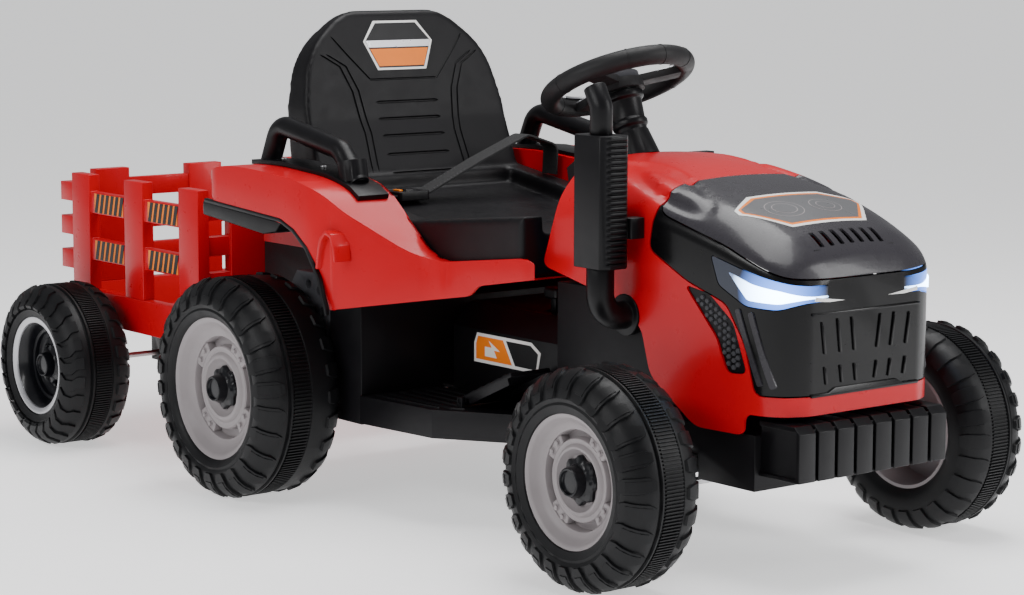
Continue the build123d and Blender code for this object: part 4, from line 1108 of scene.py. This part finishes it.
def sticker(name, outline, plane_point, right, up, surface, lift, material, body,
            spacing=4.0):
    """outline is in millimetres along right and up; it is dropped along their normal."""
    right, up = Vector(right).normalized(), Vector(up).normalized()
    inward = -right.cross(up)
    work = bmesh.new()
    corners = [work.verts.new(plane_point + (right * a + up * b) * MM) for a, b in outline]
    work.faces.new(corners)
    low = [min(p[i] for p in outline) for i in (0, 1)]
    high = [max(p[i] for p in outline) for i in (0, 1)]
    for axis, direction in ((0, right), (1, up)):
        cuts = int((high[axis] - low[axis]) / spacing)
        for step in range(1, cuts + 1):
            where = plane_point + direction * (low[axis] + step * spacing) * MM
            bmesh.ops.bisect_plane(work, geom=work.verts[:] + work.edges[:] + work.faces[:],
                                   plane_co=where, plane_no=direction)
    for vertex in work.verts:
        hit, normal, _, _ = surface.ray_cast(vertex.co - inward * 0.1, inward)
        if hit is None:
            hit, normal = vertex.co, -inward
        if normal.dot(inward) > 0:
            normal = -normal
        vertex.co = hit + normal * lift * MM
    bmesh.ops.recalc_face_normals(work, faces=work.faces)
    mesh = bpy.data.meshes.new(name)
    work.to_mesh(mesh)
    work.free()
    piece = bpy.data.objects.new(name, mesh)
    bpy.context.scene.collection.objects.link(piece)
    if piece.data.polygons[0].normal.dot(inward) > 0:
        piece.data.flip_normals()
    film = piece.modifiers.new("film", "SOLIDIFY")
    film.thickness = 0.15 * MM
    film.offset = 0.0
    plain_mesh(piece)
    return finished(piece, material, body, (), 40)


def hexagon(half_wide, half_mid, half_tall, shift=0.0):
    """Wide hexagon with a long top and bottom edge."""
    return [(-half_mid, -half_tall), (half_mid, -half_tall), (half_wide, shift),
            (half_wide * 0.985, shift + half_tall * 0.25), (half_mid * 0.95, half_tall),
            (-half_mid * 0.95, half_tall), (-half_wide * 0.985, shift + half_tall * 0.25),
            (-half_wide, shift)]


slot_shape = slab("slot", soft_outline([(-4, -11), (3, -11), (4, 11), (-3, 11)], 2), -12, 12,
                  "Z")
slot_shape.data.transform(Matrix.Translation((-axle_x, 0, 0)))
slot_shape.data.transform(Matrix.Rotation(math.radians(90), 4, "Z"))
slot_row = repeated("slot_row", slot_shape, 7, cap_grey, step=(0, 15.5, 0),
                    centre=at(F + 115, -46.5, 388))
cap_tree = skin_tree(cap_piece)
carve(cap_piece, slot_row)
cap_piece = outward(cap_piece)
# A black plate under the slots is painted shade: it stands for the dark inside of the hollow hood.
painted_shade_plate = box("slot_backing", F + 92, F + 128, -62, 62, 364, 374)
finished(cap_piece, cap_grey, "tractor", ("nose_cap",), 30)
finished(painted_shade_plate, black, "tractor", (), 30)
badge_place = at(F + 54, 0, 420)
for label, grow, material, lift in (("border", 0, white_print, 0.25),
                                    ("stripe", -4.5, orange_print, 0.4),
                                    ("field", -8, grey_print, 0.55)):
    outline = hexagon(96 + grow, 58 + grow * 0.7, 41 + grow, 6)
    sticker("nose_badge_" + label, outline, badge_place, (0, 1, 0), (-1, 0, 0.28),
            cap_tree, lift, material, "tractor", 7.0)
for number, (size, shift) in enumerate(((20, -34), (13, -34), (17, 30), (10, 30))):
    circle = [(shift + size * 1.3 * math.cos(a * math.pi / 16), size * math.sin(a * math.pi / 16))
              for a in range(32)]
    loop = [(shift + (size - 0.9) * 1.3 * math.cos(a * math.pi / 16),
             (size - 0.9) * math.sin(a * math.pi / 16)) for a in range(32)]
    for word, outline, material, lift in (("line", circle, rim_grey, 0.7),
                                          ("ground", loop, grey_print, 0.85)):
        sticker(f"nose_badge_{word}_{number}", outline, badge_place, (0, 1, 0), (-1, 0, 0.28),
                cap_tree, lift + 0.32 * (number % 2), material, "tractor", 9.0)
print("nose cap, slots and badge laid on")

# %% [markdown]
# ## Grille, lamps and side vents
# The grille is a black panel with ribs moulded on its face: slanted pairs below each lamp and
# two rows of short bars in the middle. The lamps are clear lenses with a lit core and a thin
# light strip towards the middle. The side vents are honeycomb: a hexagonal grid is made with
# a second node tree, then dropped on the skin.

# %% Grille face
finished(grille_piece, gloss_black, "tractor", ("grille",), 30)
front_x = F + 148


def bar(name, points, depth, thick, material=gloss_black, soften=1.2):
    """A raised bar on the front face; points are (y, z)."""
    piece = slab(name, points, front_x - depth, front_x + thick, "X")
    return rounded(piece, soften, 2)


bars = []
for side in (-1, 1):
    for y, low, high in ((16, 262, 300), (38, 262, 300), (62, 262, 298)):
        slant = 5
        outline = [(side * y, low), (side * (y + 3.4), low), (side * (y + 3.4 + slant), high),
                   (side * (y + slant), high)]
        bars.append(bar("bar", outline, 2, 2.2))
        outline = [(side * (y - 3), 228), (side * (y + 0.4), 228), (side * (y + 3.4), 248),
                   (side * y, 248)]
        bars.append(bar("bar", outline, 2, 2.2))
bars.append(bar("bar", [(-84, 305), (84, 305), (84, 308), (-84, 308)], 3, 3.0))
bars.append(bar("bar", [(-84, 219), (-58, 219), (-48, 224), (48, 224), (58, 219), (84, 219),
                        (84, 215), (-84, 215)], 2, 2.6))
grille_bars = joined("grille_bars", bars)
finished(grille_bars, gloss_black, "tractor", (), 30)
side_bars = []
for low, high in (((F + 112, 228), (F + 80, 310)),
                  ((F + 126, 226), (F + 98, 308))):
    run = Vector(high) - Vector(low)
    wide = Vector((run.y, -run.x)).normalized() * 3.2
    line = [Vector(low) - wide, Vector(high) - wide, Vector(high) + wide, Vector(low) + wide]
    rib = cut_from_skin("rib", soft_outline([(p.x, p.y) for p in line], 3))
    rib.data.transform(Matrix.Translation((0.0012, 0, 0)) @ Matrix.Scale(1.014, 4, (0, 1, 0)))
    side_bars.append(rib)
slanted = joined("grille_slanted_ribs", side_bars)
finished(slanted, cap_grey, "tractor", (), 30)
print("grille bars:", len(grille_bars.data.polygons), "slanted:", len(slanted.data.polygons))

# %% Lamps
lamp_middle = Vector((axle_x + (F + 122) * MM, 0.104, 0.331))
lamp_core = glowing("lamp_glow", (0.3, 0.42, 0.7), (0.45, 0.68, 1.0), 30.0, lamp_middle, 0.058)
lens = glowing("lamp_lens_blue", (0.006, 0.012, 0.03), (0.12, 0.3, 1.0), 5.0, lamp_middle, 0.05)
core_line = soft_outline([(F + 66, 350), (F + 94, 321), (F + 130, 319), (F + 150, 325),
                          (F + 130, 333), (F + 98, 339)], 4)
lamp_parts, core_parts = [], []
for low, high in ((60, 200), (-200, -60)):
    lamp = cut_from_skin("lamp", swollen(lamp_line, -0.3), (), (), low, high)
    lamp_parts.append(lamp)
    inner = swollen(core_line, 0.0)
    core = cut_from_skin("core", inner, (), (), low, high)
    core.data.transform(Matrix.Translation((0.0014, 0, 0)) @ Matrix.Scale(1.01, 4, (0, 1, 0)))
    core_parts.append(core)
lamps = joined("headlight_lenses", lamp_parts)
finished(lamps, lens, "tractor", ("headlights",), 30)
cores = joined("headlight_cores", core_parts)
finished(cores, lamp_core, "tractor", (), 30)
strips = [bar("strip", [(side * 80, 321), (side * 58, 319), (side * 34, 319.5), (side * 58, 322.5),
                        (side * 80, 326)], 2, 1.5, soften=0.4) for side in (-1, 1)]
strip = joined("headlight_strips", strips)
finished(strip, white_print, "tractor", (), 30)
print("lamps lit")


# %% Honeycomb vents
def honeycomb_tree():
    """Two interleaved grids of one small shape."""
    tree = bpy.data.node_groups.new("honeycomb", "GeometryNodeTree")
    face = tree.interface
    face.new_socket("Cell", in_out="INPUT", socket_type="NodeSocketObject")
    for name in ("Width", "Height", "Pitch", "Row Pitch"):
        face.new_socket(name, in_out="INPUT", socket_type="NodeSocketFloat")
    face.new_socket("Material", in_out="INPUT", socket_type="NodeSocketMaterial")
    face.new_socket("Geometry", in_out="OUTPUT", socket_type="NodeSocketGeometry")
    nodes, links = tree.nodes, tree.links
    given, result = nodes.new("NodeGroupInput"), nodes.new("NodeGroupOutput")
    cell = nodes.new("GeometryNodeObjectInfo")
    links.new(given.outputs["Cell"], cell.inputs["Object"])
    both = nodes.new("GeometryNodeJoinGeometry")

    def divided(a, b):
        node = nodes.new("ShaderNodeMath")
        node.operation = "DIVIDE"
        links.new(given.outputs[a], node.inputs[0])
        links.new(given.outputs[b], node.inputs[1])
        return node.outputs[0]

    for shifted in (False, True):
        grid = nodes.new("GeometryNodeMeshGrid")
        links.new(given.outputs["Width"], grid.inputs["Size X"])
        links.new(given.outputs["Height"], grid.inputs["Size Y"])
        links.new(divided("Width", "Pitch"), grid.inputs["Vertices X"])
        links.new(divided("Height", "Row Pitch"), grid.inputs["Vertices Y"])
        place = nodes.new("GeometryNodeInstanceOnPoints")
        move = nodes.new("GeometryNodeTransform")
        half = nodes.new("ShaderNodeCombineXYZ")
        for socket, source in (("X", "Pitch"), ("Y", "Row Pitch")):
            scale = nodes.new("ShaderNodeMath")
            scale.operation = "MULTIPLY"
            scale.inputs[1].default_value = 0.5 if shifted else 0.0
            links.new(given.outputs[source], scale.inputs[0])
            links.new(scale.outputs[0], half.inputs[socket])
        links.new(grid.outputs["Mesh"], move.inputs["Geometry"])
        links.new(half.outputs[0], move.inputs["Translation"])
        links.new(move.outputs[0], place.inputs["Points"])
        links.new(cell.outputs["Geometry"], place.inputs["Instance"])
        links.new(place.outputs[0], both.inputs[0])
    real = nodes.new("GeometryNodeRealizeInstances")
    paint = nodes.new("GeometryNodeSetMaterial")
    links.new(both.outputs[0], real.inputs[0])
    links.new(real.outputs[0], paint.inputs["Geometry"])
    links.new(given.outputs["Material"], paint.inputs["Material"])
    links.new(paint.outputs[0], result.inputs[0])
    return tree


def inside_outline(point, outline):
    inside = False
    for (ax, ay), (bx, by) in zip(outline, outline[1:] + outline[:1]):
        if (ay > point[1]) != (by > point[1]):
            if point[0] < (bx - ax) * (point[1] - ay) / (by - ay) + ax:
                inside = not inside
    return inside


honeycomb = honeycomb_tree()
cell = mesh_object("cell", [(math.cos(a * math.pi / 3) * r, math.sin(a * math.pi / 3) * r, h)
                            for r, h in ((0.0033, 0), (0.0027, 0.0018), (0.0012, 0.0022))
                            for a in range(6)],
                   [(r * 6 + a, r * 6 + (a + 1) % 6, r * 6 + 6 + (a + 1) % 6, r * 6 + 6 + a)
                    for r in range(2) for a in range(6)] + [tuple(range(12, 18)),
                                                            (5, 4, 3, 2, 1, 0)])
carrier = mesh_object("cells", [], [])
comb = carrier.modifiers.new("honeycomb", "NODES")
comb.node_group = honeycomb
values = {"Cell": cell, "Width": 0.108, "Height": 0.108, "Pitch": 0.012, "Row Pitch": 0.0072,
          "Material": module_grey}
for socket in honeycomb.interface.items_tree:
    if socket.in_out == "INPUT":
        comb[socket.identifier] = values[socket.name]
plain_mesh(carrier)
bpy.data.objects.remove(cell)
vent_base = cut_from_skin("vents", swollen(vent_line, -0.3))
vent_base.data.transform(Matrix.Scale(0.984, 4, (0, 1, 0)))
vent_tree = skin_tree(vent_base)
vent_centre = Vector((F + 48, 283))


def loose_parts(work):
    """Lists of vertices, one list for each separate piece of the mesh."""
    parts, seen = [], set()
    for vertex in work.verts:
        stack, part = [vertex], []
        while stack:
            current = stack.pop()
            if current.index in seen:
                continue
            seen.add(current.index)
            part.append(current)
            stack += [edge.other_vert(current) for edge in current.link_edges]
        if part:
            parts.append(part)
    return parts


def laid_cells(cells, border):
    """Keep the cells whose middle lies inside the border and lay them on the vent's skin."""
    work = bmesh.new()
    work.from_mesh(cells.data)
    for part in loose_parts(work):
        middle = sum((v.co for v in part), Vector()) / len(part) / MM + vent_centre.to_3d()
        if not inside_outline(middle, border):
            bmesh.ops.delete(work, geom=part, context="VERTS")
            continue
        for v in part:
            start = at(vent_centre.x + v.co.x / MM, -200, vent_centre.y + v.co.y / MM)
            hit = vent_tree.ray_cast(start, Vector((0, 1, 0)))[0]
            v.co = (hit or start) - Vector((0, v.co.z, 0))
    laid = mesh_object("cells_right", [], [])
    work.to_mesh(laid.data)
    work.free()
    return laid


right_cells = laid_cells(carrier, swollen(vent_line, -3.6))
bpy.data.objects.remove(carrier)
left_cells = mirrored(right_cells, "cells_left")
comb_cells = joined("vent_honeycomb", [right_cells, left_cells])
finished(comb_cells, module_grey, "tractor", (), 25)
finished(vent_base, black, "tractor", ("side_vents",), 30)
bpy.data.objects.remove(outer_body)
bpy.data.objects.remove(inner_body)
print("honeycomb cells:", len(comb_cells.data.polygons))

# %% [markdown]
# # The rear body
# The red rear body is one big shell: two fenders, the sills and the deck under the seat. We
# make it as the toolmaker would, from a side outline and a plan, rounded on the outside only.
# Then the same outline, one wall smaller, hollows it, and prisms open the wheel arches.

# %% Shell of the fenders
FENDER_HALF, FENDER_TOP, WELL_HALF = 285, 420, 178
DECK, BODY_BOTTOM, BODY_BACK, SILL_END = 312, 256, -128, F - 203


def body_solid(name, inset, soften):
    side_line = soft_outline([(BODY_BACK + inset, FENDER_TOP - 58),
                              (BODY_BACK + 12 + inset, FENDER_TOP - 16 - inset),
                              (-72, FENDER_TOP - 1 - inset), (0, FENDER_TOP - inset),
                              (100, FENDER_TOP - 7 - inset), (152, FENDER_TOP - 19 - inset),
                              (200, FENDER_TOP - 57 - inset), (258, DECK + 6 - inset),
                              (SILL_END - inset, DECK + 30 - inset),
                              (SILL_END - inset, BODY_BOTTOM - inset),
                              (BODY_BACK + inset, BODY_BOTTOM - inset)], 38)
    right = [(BODY_BACK + inset, 0), (BODY_BACK + inset, FENDER_HALF - 40),
             (BODY_BACK + 26, FENDER_HALF - inset), (136, FENDER_HALF - inset),
             (176, FENDER_HALF - 14 - inset), (262, 195 - inset), (296, 189 - inset),
             (SILL_END - inset, 182 - inset), (SILL_END - inset, 0)]
    plan = soft_outline(right[1:-1] + [(x, -y) for x, y in reversed(right[1:-1])], 30)
    solid = slab(name, plan, BODY_BOTTOM - inset, FENDER_TOP + 5, "Z")
    carve(solid, slab("side", side_line, -300, 300), "INTERSECT")
    if soften:
        rounded(solid, 13, 5, 34)
    return solid


outside = body_solid("rear_body_moulded", 0, True)
deck = box("deck", BODY_BACK + 3, SILL_END, -180, 180, DECK - 4, DECK)
walls = [box("wall", BODY_BACK, SILL_END, side * 180 - 2, side * 180 + 2, DECK - 4, 425)
         for side in (-1, 1)]
inside_of_body = copied(outside, "within")
shell = copied(outside, "rear_body_shell")
carve(shell, body_solid("hollow", 3, False))
for part in [deck] + walls:
    keep = copied(inside_of_body, "keep")
    carve(part, keep, "INTERSECT")
    carve(shell, part, "UNION")
back_panel = box("back_panel", BODY_BACK, BODY_BACK + 4, -179, 179, DECK - 1, FENDER_TOP - 5)
carve(back_panel, copied(inside_of_body, "keep"), "INTERSECT")
carve(shell, box("well", BODY_BACK - 5, SILL_END + 5, -WELL_HALF, WELL_HALF, DECK, 430))
carve(shell, back_panel, "UNION")
carve(shell, box("under", BODY_BACK - 5, 109, -183, 183, BODY_BOTTOM - 5, DECK - 4))
arch = soft_outline([(164, 0), (164, 256), (150, 292), (124, 327), (97, 346), (67, 357),
                     (-152, 371), (-152, 0)], 12)
for side in (-1, 1):
    low, high = sorted((side * 182, side * 300))
    carve(shell, slab("arch", arch, low, high))
carve(shell, slab("sill", soft_outline([(164, 240), (164, 256), (331, 284), (347, 298),
                                        (SILL_END + 8, 318), (SILL_END + 8, 240)], 8),
                  -300, 300))
bpy.data.objects.remove(outside)
bpy.data.objects.remove(inside_of_body)
outward(shell)
finished(shell, red, "tractor", ("rear_body",), 30)
print("rear body faces:", len(shell.data.polygons))

# %% Piping round the wheel arch and the raised mark on the fender
trim_parts = []
for side in (-1, 1):
    outer = soft_outline([(169, 250), (169, 258), (154, 296), (127, 332), (99, 351), (68, 362),
                          (-110, 373.5), (-110, 368), (67, 357), (97, 346), (124, 327),
                          (150, 292), (164, 256), (164, 250)], 3)
    low, high = sorted((side * (FENDER_HALF - 5), side * (FENDER_HALF + 1.2)))
    trim_parts.append(rounded(slab("trim", outer, low, high), 1.2, 2))
trim = joined("arch_piping", trim_parts)
finished(trim, black, "tractor", (), 35)
marks = []
for side in (-1, 1):
    high_line = [(146, 306), (151, 332), (156, 346), (168, 356), (180, 352), (187, 338),
                 (190, 318)]
    low_line = [(186, 318), (183, 336), (178, 347), (168, 350), (160, 343), (156, 331),
                (151, 306)]
    mark = slab("mark", soft_outline(high_line + low_line, 2),
                *sorted((side * 262, side * (FENDER_HALF + 0.8))))
    marks.append(rounded(mark, 1.0, 2))
mark_pair = joined("fender_marks", marks)
finished(mark_pair, red, "tractor", (), 35)

# %% Handles, tail lights and screws
for word in ("left", "right"):
    softened("grab_handle_" + word, 1.6, black, 3)
softened("tail_light_housings", 2.2, black, 3)
tail_red = moulded_plastic("tail_lens_red", (0.3, 0.008, 0.01), 0.12, 0.02, 400.0, 0.6)
softened("tail_light_lenses", 0.8, tail_red)
softened("screws", 0.7, steel)
print("rear body dressed")

# %% [markdown]
# # The seat
# The seat is one blow-moulded piece, so all of its edges are generous. We take the CAD seat,
# rebuild its surface on a fine grid, and let the grid relax, which rounds everything as the
# blown plastic does. Grooves are then pressed in with thin rods that follow the surface.

# %% Blow-moulded seat
seat = copied(frame["nodes"]["seat"], "seat_moulded")
seat.parent = None
seat.matrix_world = Matrix.Identity(4)
outward(seat)
grid = seat.modifiers.new("grid", "REMESH")
grid.mode = "VOXEL"
grid.voxel_size = 2.9 * MM
relax = seat.modifiers.new("relax", "SMOOTH")
relax.factor = 0.5
relax.iterations = 14
plain_mesh(seat)
lightened = seat.modifiers.new("lighten", "DECIMATE")
lightened.ratio = 0.5
plain_mesh(seat)
seat_tree = skin_tree(seat)


def pressed_line(name, places, radius, tree, direction, sink=0.35, spacing=5.0):
    """A rod that follows a surface below a line of (x, y, z) places in millimetres."""
    direction = Vector(direction).normalized()
    route = []
    for start, end in zip(places, places[1:]):
        start, end = Vector(start), Vector(end)
        count = max(1, int((end - start).length / spacing))
        route += [start.lerp(end, i / count) for i in range(count)]
    route.append(Vector(places[-1]))
    track = []
    for place in route:
        begin = at(*place) - direction * 0.08
        hit, normal, _, _ = tree.ray_cast(begin, direction)
        if hit is not None:
            track.append(hit - normal * radius * sink * MM)
    points, faces = [], []
    ring = 8
    for index, spot in enumerate(track):
        run = (track[min(index + 1, len(track) - 1)] - track[max(index - 1, 0)]).normalized()
        side = run.cross(direction).normalized()
        up = side.cross(run).normalized()
        end = index in (0, len(track) - 1)
        reach = radius * (0.35 if end else 1.0) * MM
        for step in range(ring):
            angle = 2 * math.pi * step / ring
            points.append(spot + (side * math.cos(angle) + up * math.sin(angle)) * reach)
    for index in range(len(track) - 1):
        for step in range(ring):
            a, b = index * ring + step, index * ring + (step + 1) % ring
            faces.append((a, b, b + ring, a + ring))
    faces += [tuple(range(ring)), tuple(range(len(points) - ring, len(points)))]
    return outward(mesh_object(name, points, faces))


grooves = []
for height in (400, 424, 448, 470, 492):
    grooves.append(pressed_line("rib", [(0, -52, height), (0, 52, height)], 2.4, seat_tree,
                                (-1, 0, 0)))
for offset in (0, 10):
    for side in (-1, 1):
        channel = [(0, side * (130 - offset), 557), (0, side * (101 - offset), 540),
                   (0, side * (87 - offset), 508), (0, side * (79 - offset), 453),
                   (0, side * (82 - offset), 402)]
        grooves.append(pressed_line("channel", channel, 1.8, seat_tree, (-1, 0, 0)))
grooves.append(pressed_line("vee", [(0, -108, 580), (0, -88, 557), (0, -55, 522), (0, 55, 522),
                                    (0, 88, 557), (0, 108, 580)], 1.8, seat_tree, (-1, 0, 0)))
for groove in grooves:
    carve(seat, groove)
finished(seat, seat_black, "tractor", ("seat",), 50)
print("seat faces:", len(seat.data.polygons))

# %% Badge on the backrest
seat_tree = skin_tree(seat)
back_place = at(60, 0, 572)


def backrest_hexagon(grow):
    return [(-40 - grow, -38 - grow), (40 + grow, -38 - grow), (57 + grow, 0),
            (36 + grow, 27 + grow), (-36 - grow, 27 + grow), (-57 - grow, 0)]


for label, outline, lift, material in (
        ("border", backrest_hexagon(0), 0.35, white_print),
        ("field", backrest_hexagon(-3), 0.55, black_print),
        ("base", [(-37, -33), (37, -33), (48, -10), (-48, -10)], 0.75, orange_print),
        ("stripe", [(-50, -8), (50, -8), (54, 1), (-54, 1)], 0.75, silver)):
    sticker("seat_badge_" + label, outline, back_place, (0, 1, 0), (0, 0, 1), seat_tree, lift,
            material, "tractor", 6.0)
print("badge on the backrest")

# %% [markdown]
# # The belt
# The lap belt is stiff webbing that stands up in an arch, 30 mm wide. It is the CAD strap with
# softened edges and a woven surface, with rows of stitches where it meets the buckle.

# %% Strap, stitches and buckle
for node, width, material, slot in (("belt_strap", 0.7, webbing, "webbing"),
                                    ("belt_buckle", 1.4, black, "black_plastic")):
    softened(node, width, material, 3)
strap_tree = skin_tree(bpy.data.objects["belt_strap_moulded"])
stitch_parts = []
for x in (38, 60):
    for number in range(10):
        place = at(x, -38 + number * 5.5, 470)
        hit, normal, _, _ = strap_tree.ray_cast(place, Vector((0, 0, -1)))
        if hit is not None:
            low, high = hit - Vector((0.0006, 0.0015, 0.0004)), hit + Vector((0.0006, 0.0015,
                                                                              0.0004))
            stitch_parts.append(box("stitch", *[(c[0] - axle_x) / MM for c in (low, high)],
                                    *[c[1] / MM for c in (low, high)],
                                    *[c[2] / MM for c in (low, high)]))
stitches = joined("belt_stitches", stitch_parts)
finished(stitches, grey_print, "tractor", (), 30)
press = rounded(box("press", 42, 56, -92, -86, 383, 385.4), 0.6, 2)
finished(press, orange, "tractor", (), 30)
press.name = "buckle_release"
print("belt and buckle dressed")

# %% [markdown]
# # Steering, dashboard and exhaust
# The wheel has a thick leather-look rim with silver inserts, and a tapered black shroud
# carries it down into the hood. The shroud turns with the wheel, so it rides on the same body.

# %% A profile turned about any axis
def lathe(name, profile, base, direction, steps=48):
    """profile holds (radius, distance along the axis) in millimetres, and is closed."""
    turn = Vector(direction).to_track_quat("Z", "Y").to_matrix()
    rows = len(profile)
    points, faces = [], []
    for step in range(steps):
        angle = 2 * math.pi * step / steps
        for radius, along in profile:
            local = Vector((math.cos(angle) * radius, math.sin(angle) * radius, along)) * MM
            points.append(base + turn @ local)
    for step in range(steps):
        after = (step + 1) % steps
        for row in range(rows):
            below = (row + 1) % rows
            faces.append((step * rows + row, step * rows + below, after * rows + below,
                          after * rows + row))
    return outward(mesh_object(name, points, faces))


hub = wheel_centre.copy()
leather = moulded_plastic("grained_rim_grip", (0.012, 0.0118, 0.0125), 0.5, 0.5, 420.0)
softened("steering_wheel", 2.2, leather, 3)
softened("wheel_pad", 2.0, module_grey, 3)
for word in ("horn", "music"):
    softened(word + "_button", 1.4, orange, 3)
shroud = lathe("column_shroud", [(6.5, -18), (26, -18), (26, -26), (22, -29), (20, -52),
                                 (22, -54), (22, -60), (19, -63), (18.5, -92), (6.5, -92)],
               hub, column_up)
softened("steering_column", 0.8, steel)
shroud = rounded(shroud, 1.2, 2)
finished(shroud, black, "steering", (), 32)
print("shroud faces:", len(shroud.data.polygons))

# %% Silver inserts and seams on the wheel
side_axis = Vector((0, -1, 0))
front_axis = column_up.cross(side_axis).normalized()


def on_wheel(radius, angle, lift):
    return (hub + (side_axis * math.cos(angle) + front_axis * math.sin(angle)) * radius * MM
            + column_up * lift * MM)


def arc_strip(name, radius, half_width, start, stop, lift, thick, steps=24):
    """A flat band that follows the rim, between two angles in degrees."""
    points, faces = [], []
    for step in range(steps + 1):
        angle = math.radians(start + (stop - start) * step / steps)
        for offset, height in ((-half_width, 0), (half_width, 0), (half_width, thick),
                               (-half_width, thick)):
            points.append(on_wheel(radius + offset, angle, lift + height))
    for step in range(steps):
        for side in range(4):
            a, b = step * 4 + side, step * 4 + (side + 1) % 4
            faces.append((a, b, b + 4, a + 4))
    faces += [(0, 1, 2, 3), tuple(range(steps * 4, steps * 4 + 4))]
    return outward(mesh_object(name, points, faces))


inserts = [arc_strip("insert", 75.5, 3.2, turn - 24, turn + 24, 6.6, 2.4)
           for turn in (30, 150, 270)]
for turn in (30, 150, 270):
    angle = math.radians(turn)
    for side in (-1, 1):
        shift = (side_axis * -math.sin(angle) + front_axis * math.cos(angle)) * side * 0.007
        line = [on_wheel(34, angle, -1.5) + shift, on_wheel(72, angle, 0.5) + shift * 1.25]
        inserts.append(rod("spoke_line", line[0], line[1], 1.7, 10))
insert = joined("wheel_inserts", inserts)
finished(insert, silver, "steering", (), 30)
seams = []
for turn in (0, 60, 90, 120, 180, 240, 300):
    angle = math.radians(turn)
    centre = on_wheel(85, angle, 0)
    tangent = -side_axis * math.sin(angle) + front_axis * math.cos(angle)
    seams.append(lathe("seam", [(11.6, -0.7), (12.5, -0.7), (12.5, 0.7), (11.6, 0.7)], centre,
                       tangent, 24))
seam = joined("wheel_seams", seams)
finished(seam, leather, "steering", (), 30)

# %% Dashboard, exhaust and bumper
softened("dashboard", 3.0, black, 3)
softened("power_button", 1.0, orange, 3)
softened("exhaust_pipe", 1.0, black, 2)
softened("exhaust_guard", 1.1, black, 2)
softened("bumper", 2.4, black, 3)
print("dashboard, exhaust and bumper dressed")

# %% [markdown]
# # Underbody, console and floor
# The rest keeps the CAD shape and only needs what the mould gives it: rounded edges and the
# right surface. A console sticker sits on its sloping side, made of plain printed shapes.

# %% Pieces that keep their CAD shape
keeps = (("chassis", 2.2, floor_black, "black_plastic"), ("footboards", 1.6, floor_black,
                                                          "black_plastic"),
         ("centre_console", 2.6, black, "black_plastic"),
         ("accelerator_pedal", 1.2, black, "black_plastic"),
         ("gear_lever", 1.2, black, "black_plastic"),
         ("gearboxes", 1.4, module_grey, "grey_plastic"),
         ("battery", 1.2, black, "battery_case"), ("controller", 1.2, black, "black_plastic"),
         ("front_axle", 0.5, steel, "steel"), ("rear_axle", 0.5, steel, "steel"),
         ("knuckle_left", 0.6, steel, "steel"), ("knuckle_right", 0.6, steel, "steel"),
         ("tie_rod", 0.6, steel, "steel"), ("hitch_pin", 0.4, steel, "steel"),
         ("trailer_tub", 2.2, red, "red_plastic"), ("trailer_side_fences", 2.0, red, "red_plastic"),
         ("trailer_front_fence", 2.0, red, "red_plastic"),
         ("trailer_tail_fence", 2.0, red, "red_plastic"),
         ("trailer_drawbar", 0.8, black_steel, "black_steel"),
         ("trailer_axle", 0.4, steel, "steel"))
for node, width, material, slot in keeps:
    softened(node, width, material)
print("kept shapes:", len(keeps))

# %% Stickers on the console and the trailer's rails
console_tree = skin_tree(bpy.data.objects["centre_console_moulded"])
console_place = at(306, -140, 204)
for label, outline, lift, material in (
        ("ground", [(-66, -18), (60, -18), (66, 8), (48, 19), (-60, 19), (-66, 6)], 0.3,
         white_print),
        ("orange", [(-62, -14), (10, -14), (-8, 15), (-58, 15), (-62, 5)], 0.45, orange_print),
        ("black", [(16, -14), (57, -14), (61, 6), (46, 15), (-2, 15)], 0.45, black_print),
        ("bolt", [(-44, -9), (-20, -9), (-26, 0), (-14, 0), (-36, 11), (-30, 3), (-44, 3)],
         0.6, white_print)):
    sticker("console_" + label, outline, console_place, (1, 0, 0), (0, 0, 1), console_tree,
            lift, material, "tractor", 9.0)
RAIL_FACE = 240 - 18 + 3 + 12          # half width, less the fence, then set-back and rail
STICKER_BAYS = ((-484, -404), (-336, -258))
STRIPES = 6
hazard = []
blacks = []
for side in (-1, 1):
    face = side * RAIL_FACE
    for low in (251, 318):
        for start, stop in STICKER_BAYS:
            plate = box("plate", start, stop, *sorted((face, face + side * 0.5)), low + 2,
                        low + 29)
            hazard.append(plate)
            pitch = (stop - start) / STRIPES
            for number in range(STRIPES):
                left = start + number * pitch + 1.5
                outline = [(left - 1, low + 2), (left + 7, low + 2), (left + 14, low + 29),
                           (left + 6, low + 29)]
                blacks.append(slab("stripe", outline,
                                   *sorted((face + side * 0.3, face + side * 0.9))))
plates = joined("hazard_plates", hazard)
stripes = joined("hazard_stripes", blacks)
finished(plates, orange_print, "trailer", (), 30)
finished(stripes, black_print, "trailer", (), 30)
print("stickers:", len(plates.data.polygons), len(stripes.data.polygons))
